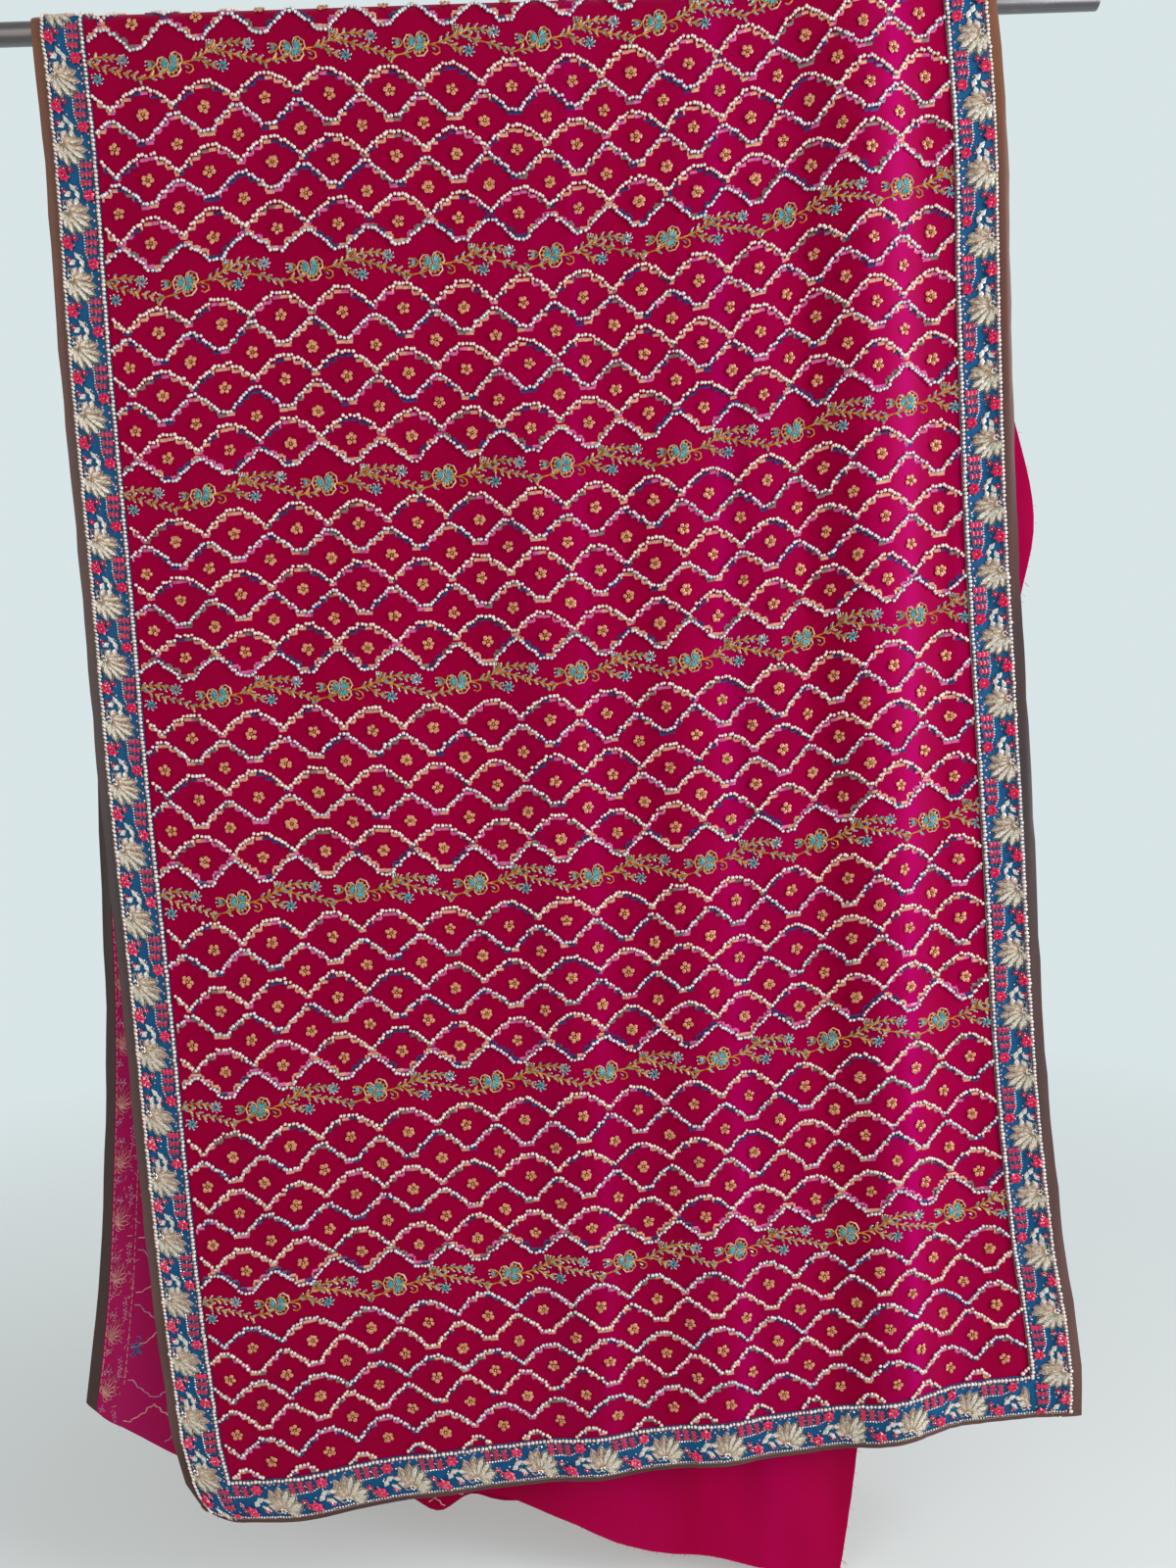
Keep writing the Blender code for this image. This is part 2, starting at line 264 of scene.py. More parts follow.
# %% [markdown]
# hang() turns flat cloth into hanging cloth. Flat rows drift a little against the
# rod, because the saree was thrown over it at a slant and the folds take up cloth.

# %% Hang a flat point of the saree
CREASE = 0.00028
OVER_LENGTH = math.pi * SAREE_RADIUS

# How far the weft gives at most, and between which columns
WEFT_EASE = 0.0125
WEFT_FROM = 0.0845
WEFT_SPAN = 0.9255

# How far rows rise at the left edge at most, and where along the cloth
RISE = 0.028
RISE_MIDDLE = 0.92
RISE_SPREAD = 0.28
RISE_WIDTH = 0.42


def share_across(u):
    """Where a column hangs, as a share of the width; the weft gives a little in the middle."""
    ease = WEFT_EASE * np.sin(np.pi * np.clip((u - WEFT_FROM) / WEFT_SPAN, 0.0, 1.0))
    return (u + ease) / SAREE_WIDTH


def fall_length(end, u):
    """Flat length of a fall at a column, with what its folds take up."""
    across = share_across(u)
    return curve(end, across) / (1 - curve(SLACK, across))


def front_length(u):
    """Flat length of the front fall at a column."""
    return fall_length(FRONT_END, u)


def back_end(u):
    """Flat v of the raw back end at a column."""
    return front_length(u) + OVER_LENGTH + fall_length(BACK_END, u)


def saree_point(u, v):
    """Middle of the cloth at a flat place."""
    rise = RISE * np.exp(-(((v - RISE_MIDDLE) / RISE_SPREAD) ** 2)) * (1 - smooth(u / RISE_WIDTH))
    across = share_across(u)
    front = front_length(u)
    front_share = 1 - (v + rise) / front
    over_share = np.clip((v - front) / OVER_LENGTH, 0.0, 1.0)
    back_share = (v - front - OVER_LENGTH) / fall_length(BACK_END, u)
    front_parts = (FRONT_LEFT, FRONT_RIGHT, FRONT_END, FRONT_FOLDS, FRONT_SWING, CREASE)
    back_parts = (BACK_LEFT, BACK_RIGHT, BACK_END, BACK_FOLDS, BACK_SWING, CREASE)
    front_fall = fall(SAREE_RADIUS, *front_parts, across, np.maximum(front_share, 0.0))
    back_fall = fall(SAREE_RADIUS, *back_parts, across, np.maximum(back_share, 0.0))
    return join_falls(front_fall, back_fall, front_share, over_share, back_share)


def unit(vectors):
    """Vectors brought to a length of one."""
    return vectors / np.maximum(np.linalg.norm(vectors, axis=-1, keepdims=True), 1e-12)


def hang(flat):
    """Hang flat points (u, v, height) on the folds."""
    u, v, height = flat[:, 0], flat[:, 1], flat[:, 2]
    step = 1.0 * MM
    across = saree_point(u + step, v) - saree_point(u - step, v)
    along = saree_point(u, v + step) - saree_point(u, v - step)
    return saree_point(u, v) + unit(np.cross(across, along)) * height[:, None]


LONGEST_V = float(back_end(SAREE_WIDTH / 2))
print("the saree is cut", SAREE_WIDTH, "by about", round(LONGEST_V, 2), "m")

# %% [markdown]
# Small shapes are modelled once with Blender's own tools, read as points and
# faces, and then copied by arrays: thousands of beads become one joined mesh.

# %% Helpers for small shapes
# Where the middle of a bead or a bar lies above the cloth, as a share of its height
BEAD_SEAT = 0.42
BAR_SEAT = 0.4


def start_shape():
    """Nothing may be selected before a new primitive is added."""
    if bpy.context.mode != "OBJECT":
        bpy.ops.object.mode_set(mode="OBJECT")
    bpy.ops.object.select_all(action="DESELECT")


def take_shape():
    """Read the active object as a small triangle mesh, and remove it."""
    thing = bpy.context.object
    bpy.ops.object.transform_apply(location=True, rotation=True, scale=True)
    bpy.ops.object.mode_set(mode="EDIT")
    bpy.ops.mesh.select_all(action="SELECT")
    bpy.ops.mesh.normals_make_consistent(inside=False)
    bpy.ops.mesh.quads_convert_to_tris()
    bpy.ops.object.mode_set(mode="OBJECT")
    mesh = thing.data
    points = np.array([tuple(vertex.co) for vertex in mesh.vertices])
    faces = np.array([tuple(face.vertices) for face in mesh.polygons])
    bpy.data.objects.remove(thing)
    bpy.data.meshes.remove(mesh)
    return points, faces


def seat_bead(height, forward=0.0):
    """Lift the bead until it is a little sunk into the cloth, and read it."""
    bpy.ops.transform.translate(value=(0.0, forward, height * BEAD_SEAT))
    return take_shape()


def round_bead(width, height):
    """A round bead of 20 faces that sits on z = 0."""
    start_shape()
    bpy.ops.mesh.primitive_ico_sphere_add(subdivisions=1, radius=width / 2)
    bpy.ops.transform.resize(value=(1.0, 1.0, height / width))
    return seat_bead(height)


def cut_bead(width, length, height, from_end=False, sides=4):
    """A bead of two faces a side: an open cone and its mirror image."""
    start_shape()
    bpy.ops.mesh.primitive_cone_add(
        vertices=sides, radius1=0.5, radius2=0.0, depth=0.5, end_fill_type="NOTHING", location=(0, 0, 0.25),
    )
    bpy.ops.object.transform_apply(location=True, rotation=True, scale=True)
    mirror = bpy.context.object.modifiers.new("mirror", "MIRROR")
    mirror.use_axis = (False, False, True)
    bpy.ops.object.modifier_apply(modifier=mirror.name)
    bpy.ops.transform.resize(value=(width, length, height))
    return seat_bead(height, length / 2 if from_end else 0.0)


def stitch_bar():
    """A padded bar of thread along X, one unit each way: a prism of three sides on its flat."""
    start_shape()
    bpy.ops.mesh.primitive_cylinder_add(vertices=3, radius=1 / math.sqrt(3), depth=1.0)
    bpy.ops.transform.rotate(value=math.pi / 2, orient_axis="Z", center_override=(0, 0, 0))
    bpy.ops.transform.rotate(value=math.pi / 2, orient_axis="Y", center_override=(0, 0, 0))
    points, faces = take_shape()
    low, high = points.min(0), points.max(0)
    return (points - (low + high) / 2) / (high - low) + (0.0, 0.0, BAR_SEAT), faces


FINE_BEAD = round_bead(5.0 * MM, 4.4 * MM)
PLAIN_BEAD = cut_bead(5.0 * MM, 5.0 * MM, 4.0 * MM)
SEED = cut_bead(2.3 * MM, 2.3 * MM, 1.9 * MM)
RICE = cut_bead(4.4 * MM, 6.2 * MM, 3.2 * MM, True)
BUGLE = cut_bead(2.4 * MM, 6.4 * MM, 2.0 * MM, True)
ROUND_PETAL = cut_bead(5.0 * MM, 5.2 * MM, 3.4 * MM, True, 6)
BAR = stitch_bar()
print("faces of a round bead", len(FINE_BEAD[1]), "cut bead", len(RICE[1]), "and bar", len(BAR[1]))

# %% [markdown]
# A Patch collects flat points and faces. scatter() copies a small shape to many
# places, each turned and sized; cord() lays a three-sided thread along a path.

# %% Patch, scatter and cord
# Above these angles, in degrees, an edge is shaded sharp: on the work, and on the sheets
WORK_SHARP_ANGLE = 60.0
SHEET_SHARP_ANGLE = 70.0


def cord_faces(rings):
    """Triangles of a closed thread from rings of three points."""
    faces = []
    for i in range(rings - 1):
        for k in range(3):
            a, b = 3 * i + k, 3 * i + (k + 1) % 3
            faces += [(a, b, b + 3), (a, b + 3, a + 3)]
    last = 3 * (rings - 1)
    return np.array(faces + [(0, 2, 1), (last, last + 1, last + 2)])


class Patch:
    """Flat work of one finish, waiting to be hung."""

    def __init__(self):
        self.points = []
        self.faces = []
        self.count = 0

    def add(self, points, faces):
        """Add points and triangles."""
        self.points.append(points)
        self.faces.append(faces + self.count)
        self.count += len(points)

    def scatter(self, shape, u, v, angle=0.0, size=1.0, height=0.0):
        """Copy a shape to places; size is one number, one (x, y, z), or a number for each copy."""
        u = np.atleast_1d(np.asarray(u, float))
        v = np.broadcast_to(np.asarray(v, float), u.shape)
        angle = np.broadcast_to(np.asarray(angle, float), u.shape)
        height = np.broadcast_to(np.asarray(height, float), u.shape)
        size = np.array([size]) if isinstance(size, tuple) else np.asarray(size, float).reshape(-1, 1)
        size = np.broadcast_to(size, (len(u), 3))
        points, faces = shape
        local = points[None] * size[:, None, :]
        c, s = np.cos(angle)[:, None], np.sin(angle)[:, None]
        x = local[..., 0] * c - local[..., 1] * s + u[:, None]
        y = local[..., 0] * s + local[..., 1] * c + v[:, None]
        z = local[..., 2] + height[:, None]
        placed = np.stack([x, y, z], -1).reshape(-1, 3)
        shift = (np.arange(len(u)) * len(points))[:, None, None]
        self.add(placed, (faces[None] + shift).reshape(-1, 3))

    def cord(self, path, width, tall=None, base=0.0):
        """Lay a closed three-sided thread along a flat path."""
        path = np.asarray(path, float)
        tall = width if tall is None else tall
        along = unit(np.gradient(path, axis=0))
        side = np.stack([along[:, 1], -along[:, 0]], -1) * width / 2
        left = np.column_stack([path + side, np.full(len(path), base)])
        right = np.column_stack([path - side, np.full(len(path), base)])
        top = np.column_stack([path, np.full(len(path), base + tall)])
        self.add(np.stack([left, top, right], 1).reshape(-1, 3), cord_faces(len(path)))

    def hung(self, name, material, slot, lift=SAREE_THICKNESS / 2, inside=False):
        """Hang the patch on the saree as one piece; inside puts it on the wrong side."""
        flat = np.concatenate(self.points)
        faces = np.concatenate(self.faces)
        if inside:
            flat = flat * (1, 1, -1) - (0, 0, lift)
            faces = faces[:, ::-1]
        else:
            flat = flat + (0, 0, lift)
        return new_piece(name, hang(flat), faces, material)


def new_piece(name, points, faces, material, sharp_angle=WORK_SHARP_ANGLE):
    """Make one finished mesh object that rides on the body."""
    mesh = bpy.data.meshes.new(name)
    mesh.from_pydata(np.asarray(points).tolist(), [], np.asarray(faces).tolist())
    mesh.materials.append(material)
    mesh.shade_smooth()
    mesh.set_sharp_from_angle(angle=math.radians(sharp_angle))
    piece = bpy.data.objects.new(name, mesh)
    bpy.context.scene.collection.objects.link(piece)
    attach(piece, "root")
    print(name, len(mesh.polygons), "faces")
    return piece


# %% [markdown]
# Shader maths reads like arithmetic: Value wraps a socket, and the operators add
# Math nodes. Any other node comes from Shader.node, settings first.

# %% Shader helper
class Value:
    """A number that varies over a surface."""

    def __init__(self, shader, socket):
        self.shader = shader
        self.socket = socket

    def maths(self, operation, other):
        """Add one Math node."""
        return self.shader.node("ShaderNodeMath", {"operation": operation}, [self, other])

    def __add__(self, other):
        return self.maths("ADD", other)

    def __sub__(self, other):
        return self.maths("SUBTRACT", other)

    def __mul__(self, other):
        return self.maths("MULTIPLY", other)


class Shader:
    """A Principled material whose constants sit on its own sockets."""

    def __init__(self, name, **constants):
        self.material = bpy.data.materials.new(name)
        self.material.use_nodes = True
        self.tree = self.material.node_tree
        self.base = self.tree.nodes["Principled BSDF"]
        for socket, value in constants.items():
            socket = socket.replace("_", " ")
            self.base.inputs[socket].default_value = (*value, 1.0) if isinstance(value, tuple) else value

    def node(self, kind, settings, values, output=0):
        """Add a node: settings first, then the values or links of its sockets in order."""
        node = self.tree.nodes.new(kind)
        for setting, value in settings.items():
            if setting == "stops":
                while len(node.color_ramp.elements) < len(value):
                    node.color_ramp.elements.new(1.0)
                for element, (at, colour) in zip(node.color_ramp.elements, value):
                    element.position = at
                    element.color = (*colour, 1.0)
            else:
                setattr(node, setting, value)
        pairs = values.items() if isinstance(values, dict) else enumerate(values)
        for socket, value in pairs:
            if isinstance(value, Value):
                self.tree.links.new(value.socket, node.inputs[socket])
            else:
                node.inputs[socket].default_value = value
        return Value(self, node.outputs[output])

    def place(self, stretch=(1.0, 1.0, 1.0)):
        """Object coordinates in metres, stretched."""
        coordinates = self.node("ShaderNodeTexCoord", {}, [], "Object")
        return self.node("ShaderNodeMapping", {}, {"Vector": coordinates, "Scale": stretch})

    def noise(self, stretch=(1.0, 1.0, 1.0), detail=2.0, scale=1.0):
        """Soft noise from 0 to 1 over stretched object coordinates."""
        values = {"Vector": self.place(stretch), "Scale": scale, "Detail": detail}
        return self.node("ShaderNodeTexNoise", {}, values, "Fac")

    def blend(self, share, first, second):
        """Mix two colours."""
        values = {0: share, 6: first, 7: second}
        for key in (6, 7):
            if isinstance(values[key], tuple):
                values[key] = (*values[key], 1.0)
        return self.node("ShaderNodeMix", {"data_type": "RGBA"}, values, 2)

    def ramp(self, stops, value):
        """Read a ramp of (place, colour) stops."""
        return self.node("ShaderNodeValToRGB", {"stops": stops}, [value], "Color")

    def axis(self, name):
        """One object coordinate in metres."""
        return self.node("ShaderNodeSeparateXYZ", {}, [self.place()], name)

    def between(self, value, low, high, at_low, at_high):
        """A share that goes evenly from one value to another while its input goes from low to high."""
        span = {"Value": value, "From Min": low, "From Max": high, "To Min": at_low, "To Max": at_high}
        return self.node("ShaderNodeMapRange", {}, span)

    def behind_rod(self, strength=1.0):
        """A share that is 0 in front of the rod and rises on the back fall."""
        return self.between(self.axis("Y"), 0.004, 0.014, 0.0, strength)

    def feed(self, **links):
        """Link varying values to the shader's sockets."""
        for socket, value in links.items():
            self.tree.links.new(value.socket, self.base.inputs[socket.replace("_", " ")])
        return self

    def bump(self, height, strength, distance):
        """Raise the surface a little by a value."""
        values = {"Height": height, "Strength": strength, "Distance": distance}
        return self.feed(Normal=self.node("ShaderNodeBump", {}, values))


# %% [markdown]
# Silk. The warp and the weft are dyed alike, so the colour is even, but the
# threads shine: the sheen turns crimson to bright magenta where a fold catches the
# light, and that fold light is painted into the colour. The painted highlight is a
# ramp along the rod with a peak on each lit fold, and noise that is stretched down
# the cloth paints sheen streaks that waver as they fall. Where the back fall stands
# out at the left, light comes through it, and that glow is painted in: the colour
# is paler there.

# %% Silk
# Painted highlights on the lit folds: (share of the rod, how far the colour goes to the highlight colour)
SAREE_FOLD_HIGHLIGHTS = (
    (0.00, 0.00), (0.44, 0.00), (0.535, 0.05), (0.545, 0.18), (0.556, 0.05), (0.60, 0.00), (0.655, 0.08),
    (0.668, 0.26), (0.682, 0.08), (0.72, 0.08), (0.755, 0.00), (0.785, 0.00), (0.803, 0.16), (0.814, 0.16),
    (0.826, 0.46), (0.838, 0.16), (0.86, 0.03), (0.874, 0.12), (0.89, 0.01), (1.00, 0.08),
)
PLAIN_FOLD_HIGHLIGHTS = (
    (0.00, 0.10), (0.45, 0.00), (0.56, 0.22), (0.62, 0.00), (0.70, 0.26), (0.76, 0.00), (0.86, 0.05),
    (0.92, 0.00), (0.95, 0.12),
)
# Painted light: the paler colour of the back fall where light shines through it
LIT_FROM_BEHIND = (0.50, 0.020, 0.17)


def silk(name, deep, bright, highlight_colour, glow, folds, waver):
    """A silk of even dye with painted sheen streaks; folds are (share of the rod, painted highlight) stops.
    """
    shader = Shader(
        name, Roughness=0.50, Sheen_Weight=0.20, Sheen_Roughness=0.30, Sheen_Tint=glow,
        Specular_IOR_Level=0.10, Specular_Tint=glow,
    )
    along = shader.axis("X")
    # Painted sheen: streaks stretched down the cloth, which also make the fold highlights waver
    sheen_streak = shader.noise((20.0, 20.0, 0.9))
    slub = shader.noise((6.0, 6.0, 1.2), 3.0, 3.0)
    fine = shader.noise((900.0, 900.0, 260.0), 1.0)
    stops = [(at, (painted_highlight, painted_highlight, painted_highlight)) for at, painted_highlight in folds]
    # Painted highlight: a peak of lighter colour on each lit fold
    painted_highlight = shader.ramp(stops, along * (1 / ROD_LENGTH) + (sheen_streak - 0.5) * waver)
    dye_and_sheen_streaks = shader.blend(slub * 0.35 + sheen_streak * 0.35 + fine * 0.3, deep, bright)
    # Painted glow: light through the back fall at the left, painted as a paler colour
    through = shader.between(along, 0.10, 0.32, 0.5, 0.0) * shader.behind_rod()
    shader.feed(Base_Color=shader.blend(through, shader.blend(painted_highlight, dye_and_sheen_streaks, highlight_colour), LIT_FROM_BEHIND))
    shader.bump(fine, 0.25, 0.0002)
    return shader.material


SAREE_SILK = silk(
    "crimson_silk", (0.205, 0.0002, 0.018), (0.370, 0.0003, 0.043), (0.56, 0.0004, 0.20), (1.0, 0.01, 0.45),
    SAREE_FOLD_HIGHLIGHTS, 0.030,
)
PLAIN_SILK = silk(
    "magenta_silk", (0.250, 0.0003, 0.024), (0.420, 0.0005, 0.054), (0.62, 0.003, 0.14), (1.0, 0.02, 0.42),
    PLAIN_FOLD_HIGHLIGHTS, 0.060,
)
print("silks", SAREE_SILK.name, PLAIN_SILK.name)

# %% [markdown]
# The sheets. A grid of flat points is hung twice, once for each face, and closed
# round its rim. That gives a real sheet a millimetre thick, fine enough to carry
# the folds.

# %% Sheet maker
FRONT_FALL_ROWS = 60
OVER_ROD_ROWS = 12
BACK_FALL_ROWS = 46


def closed_sheet(wide, tall, outer, inner):
    """Points and triangles of a sheet; outer and inner are (row, column, xyz) grids."""
    points = np.concatenate([outer.reshape(-1, 3), inner.reshape(-1, 3)])
    r, c = np.meshgrid(np.arange(tall - 1), np.arange(wide - 1), indexing="ij")
    a = (r * wide + c).ravel()
    b, d, e = a + 1, a + wide, a + wide + 1
    layer = wide * tall
    faces = [np.stack(k, 1) for k in ((a, b, e), (a, e, d))]
    faces += [np.stack(k, 1) + layer for k in ((a, e, b), (a, d, e))]
    bottom = np.arange(wide)
    right = np.arange(1, tall) * wide + wide - 1
    top = (tall - 1) * wide + np.arange(wide - 2, -1, -1)
    left = np.arange(tall - 2, 0, -1) * wide
    rim = np.concatenate([bottom, right, top, left])
    after = np.roll(rim, -1)
    faces += [np.stack(k, 1) for k in ((after, rim, rim + layer), (after, rim + layer, after + layer))]
    return points, np.concatenate(faces)


def full_length_rows(u, start):
    """Rows of v from the front end to the raw back end, closer over the rod."""
    rod = front_length(u)
    front = start + (rod - start)[None] * np.linspace(0.0, 1.0, FRONT_FALL_ROWS)[:-1, None]
    over = rod[None] + OVER_LENGTH * np.linspace(0.0, 1.0, OVER_ROD_ROWS)[:-1, None]
    back_share = np.linspace(0.0, 1.0, BACK_FALL_ROWS)[:, None]
    back = (rod + OVER_LENGTH)[None] + fall_length(BACK_END, u)[None] * back_share
    return np.concatenate([front, over, back])


def saree_strip(name, u, v, thickness, offset, material):
    """A strip of the saree from its columns u and a grid of rows v; the offset is outwards."""
    layers = []
    for side in (0.5, -0.5):
        height = np.broadcast_to(offset + thickness * side, v.shape)
        flat = np.stack([np.broadcast_to(u, v.shape), v, height], -1)
        layers.append(hang(flat.reshape(-1, 3)).reshape(*v.shape, 3))
    points, faces = closed_sheet(v.shape[1], v.shape[0], *layers)
    return new_piece(name, points, faces, material, SHEET_SHARP_ANGLE)


# %% The embroidered silk
FIELD_LEFT = BINDING_WIDTH + RIBBON_WIDTH
FIELD_RIGHT = SAREE_WIDTH - FIELD_LEFT
FIELD_BOTTOM = END_BINDING_WIDTH + RIBBON_WIDTH
EDGE_AIR = 0.0003
SILK_START = END_BINDING_WIDTH + EDGE_AIR
SILK_THICK = 1.0 * MM
SILK_COLUMNS = 125

silk_u = np.linspace(BINDING_WIDTH + EDGE_AIR, SAREE_WIDTH - BINDING_WIDTH - EDGE_AIR, SILK_COLUMNS)
silk_v = full_length_rows(silk_u, SILK_START)
saree_silk = saree_strip("saree_silk", silk_u, silk_v, SILK_THICK, 0.0, SAREE_SILK)
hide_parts("saree_cloth")

# %% [markdown]
# The border is a separate blue ribbon sewn on top of the silk along both edges and
# across the front end. It is a strip of the same hang, one step further out.

# %% Ribbon ground
def ribbon_cloth():
    """Blue ribbon: close rows of stitches, with painted shade a little darker between them."""
    shader = Shader(
        "ribbon_blue", Roughness=0.55, Sheen_Weight=0.06, Sheen_Roughness=0.4, Sheen_Tint=(0.1, 0.6, 1.0),
        Specular_IOR_Level=0.2,
    )
    stitch = shader.noise((700.0, 700.0, 230.0))
    patch = shader.noise((40.0, 40.0, 40.0))
    # Painted shade: the stitch noise that raises the bump also darkens the low places between stitches; the
    # patch noise is random tone
    share = stitch * 0.65 + patch * 0.35
    shader.feed(Base_Color=shader.blend(share, (0.0006, 0.030, 0.110), (0.001, 0.128, 0.305)))
    shader.bump(stitch, 0.7, 0.0006)
    return shader.material


RIBBON_BLUE = ribbon_cloth()
RIBBON_OFFSET = 0.0011
RIBBON_THICK = 0.0008
RIBBON_TOP = RIBBON_OFFSET + RIBBON_THICK / 2
ACROSS_RIBBON = 7
ALONG_END_RIBBON = 121


def ribbon_strip(name, u, v):
    """A strip of ribbon, one step out from the silk."""
    return saree_strip(name, u, v, RIBBON_THICK, RIBBON_OFFSET, RIBBON_BLUE)


def side_ribbon(name, u_low, u_high, node):
    """One of the two long ribbons."""
    u = np.linspace(u_low, u_high, ACROSS_RIBBON)
    v = full_length_rows(u, SILK_START)
    strip = ribbon_strip(name, u, v)
    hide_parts(node)


side_ribbon("blue_ribbon_left", BINDING_WIDTH + EDGE_AIR, FIELD_LEFT, "ribbon_left")
side_ribbon("blue_ribbon_right", FIELD_RIGHT, SAREE_WIDTH - BINDING_WIDTH - EDGE_AIR, "ribbon_right")

end_u = np.linspace(FIELD_LEFT + EDGE_AIR, FIELD_RIGHT - EDGE_AIR, ALONG_END_RIBBON)
end_v = np.meshgrid(end_u, np.linspace(SILK_START, FIELD_BOTTOM, ACROSS_RIBBON))[1]
end_ribbon = ribbon_strip("blue_ribbon_end", end_u, end_v)
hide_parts("ribbon_bottom")

# %% [markdown]
# The binding is a bias strip of shot silk folded over the edge: brown at the rod,
# purple-grey lower down, dark brown at the hem and on the back fall. It is thickest
# in the middle, so each column gets its own thickness.

# %% Binding
SAREE_DROP = 1.80

# Colours of the binding: (height from the hem to the rod as a share, colour)
BINDING_COLOURS = (
    (0.0, (0.070, 0.022, 0.018)), (0.12, (0.130, 0.056, 0.044)), (0.5, (0.050, 0.032, 0.036)),
    (0.78, (0.120, 0.036, 0.024)), (1.0, (0.210, 0.070, 0.026)),
)
BINDING_THREAD = (0.03, 0.018, 0.02)
BINDING_BEHIND = (0.030, 0.010, 0.008)

# Thickness of each column from the outer edge inwards, in millimetres
BINDING_PROFILE = (0.9, 1.8, 2.0, 1.9, 1.5)
HEM_PROFILE = (0.9, 1.8, 1.9, 1.4)
HEM_COLUMNS = 141
BINDING_EDGE = 0.0005
EDGE_WAVES = ((0.0005, 47, 0, 0), (0.0004, 131, 0, 0))


def binding_cloth():
    """Shot silk whose colour drifts along the edge."""
    shader = Shader(
        "shot_binding", Roughness=0.45, Sheen_Weight=0.4, Sheen_Roughness=0.35, Sheen_Tint=(1.0, 0.75, 0.7),
        Specular_IOR_Level=0.5,
    )
    up = (shader.axis("Z") + SAREE_DROP) * (1 / SAREE_DROP)
    drift = shader.noise(scale=9.0) - 0.5
    colour = shader.ramp(BINDING_COLOURS, up + drift * 0.25)
    thread = shader.noise((60.0, 60.0, 900.0))
    worn = shader.blend(thread * 0.35, colour, BINDING_THREAD)
    shader.feed(Base_Color=shader.blend(shader.behind_rod(0.8), worn, BINDING_BEHIND))
    shader.bump(thread, 0.35, 0.0004)
    return shader.material


BINDING_SILK = binding_cloth()


def binding_strip(name, u, v, thickness, node):
    """A folded strip from a grid of flat points and a thickness for each."""
    strip = saree_strip(name, u, v, thickness, 0.0, BINDING_SILK)
    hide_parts(node)


def side_binding(name, u_low, u_high, thick, node):
    """One of the two long bindings, with a slightly uneven edge."""
    u = np.linspace(u_low, u_high, len(thick))
    v = full_length_rows(u, SILK_START)
    u_grid = np.broadcast_to(u[None], v.shape).copy()
    outer = 0 if u_low < SAREE_WIDTH / 2 else -1
    u_grid[:, outer] += ripple(EDGE_WAVES, v[:, 0], 0.0)
    thickness = np.broadcast_to(np.array(thick) * MM, v.shape)
    binding_strip(name, u_grid, v, thickness, node)


side_binding("edge_binding_left", BINDING_EDGE, BINDING_WIDTH, BINDING_PROFILE, "binding_left")
side_binding(
    "edge_binding_right", SAREE_WIDTH - BINDING_WIDTH, SAREE_WIDTH - BINDING_EDGE, BINDING_PROFILE[::-1],
    "binding_right",
)
hem_u, hem_v = np.meshgrid(
    np.linspace(0.0, SAREE_WIDTH, HEM_COLUMNS), np.linspace(0.0, END_BINDING_WIDTH, len(HEM_PROFILE)),
)
hem_thick = np.broadcast_to(np.array(HEM_PROFILE)[:, None] * MM, hem_u.shape)
binding_strip(
    "edge_binding_end", hem_u, hem_v, hem_thick, "binding_bottom",
)

# %% [markdown]
# The plain length is bright magenta silk without beads. It hangs over the rod under
# the saree, askew, so a corner shows below the hem and one edge bulges out at the
# right. Soft diagonal creases come from the way it was folded.

# %% The plain length
PLAIN_COLUMNS = 53
PLAIN_FLAP_ROWS = 12
PLAIN_BEND_ROWS = 13
PLAIN_BACK_ROWS = 100
PLAIN_CREASE = 0.00030
HALF_PLAIN_SHEET = 0.0004
PLAIN_OVER = math.pi * PLAIN_RADIUS
PLAIN_LONGEST = PLAIN_END[-1][1]
FLAP_LEFT = ((0.0, PLAIN_LEFT[0][1]), (PLAIN_FRONT_DOWN, PLAIN_LEFT[0][1]))
FLAP_RIGHT = ((0.0, PLAIN_RIGHT[0][1]), (PLAIN_FRONT_DOWN, PLAIN_RIGHT[0][1]))
FLAP_END = ((0.0, PLAIN_FRONT_DOWN), (1.0, PLAIN_FRONT_DOWN))

# Creases that fan out from the corner: waves as above, how strong, and from which drop
CORNER_WAVES = ((1.0, 62, -34.1, 1.3), (0.6, 41, 36.9, 0.0), (0.5, 88, -140.8, 0.4))
CORNER_CREASE = 0.0011
CORNER_FROM = 1.45
CORNER_OVER = 0.3


def plain_point(across, run):
    """Middle of the plain length; run goes from the flap's end to the back end."""
    front_share = np.clip(1 - run / PLAIN_FRONT_DOWN, 0.0, 1.0)
    over_share = np.clip((run - PLAIN_FRONT_DOWN) / PLAIN_OVER, 0.0, 1.0)
    back_share = np.clip((run - PLAIN_FRONT_DOWN - PLAIN_OVER) / PLAIN_LONGEST, 0.0, 1.0)
    flap = (FLAP_LEFT, FLAP_RIGHT, FLAP_END, (), (0.0, 1.0), 0.0)
    back = (PLAIN_LEFT, PLAIN_RIGHT, PLAIN_END, PLAIN_FOLDS, PLAIN_SWING, PLAIN_CREASE)
    x, out, down = fall(PLAIN_RADIUS, *back, across, back_share)
    fan = CORNER_CREASE * ripple(CORNER_WAVES, x, down) * smooth((down - CORNER_FROM) / CORNER_OVER)
    front_fall = fall(PLAIN_RADIUS, *flap, across, front_share)
    return join_falls(front_fall, (x, out + fan, down), front_share, over_share, back_share)


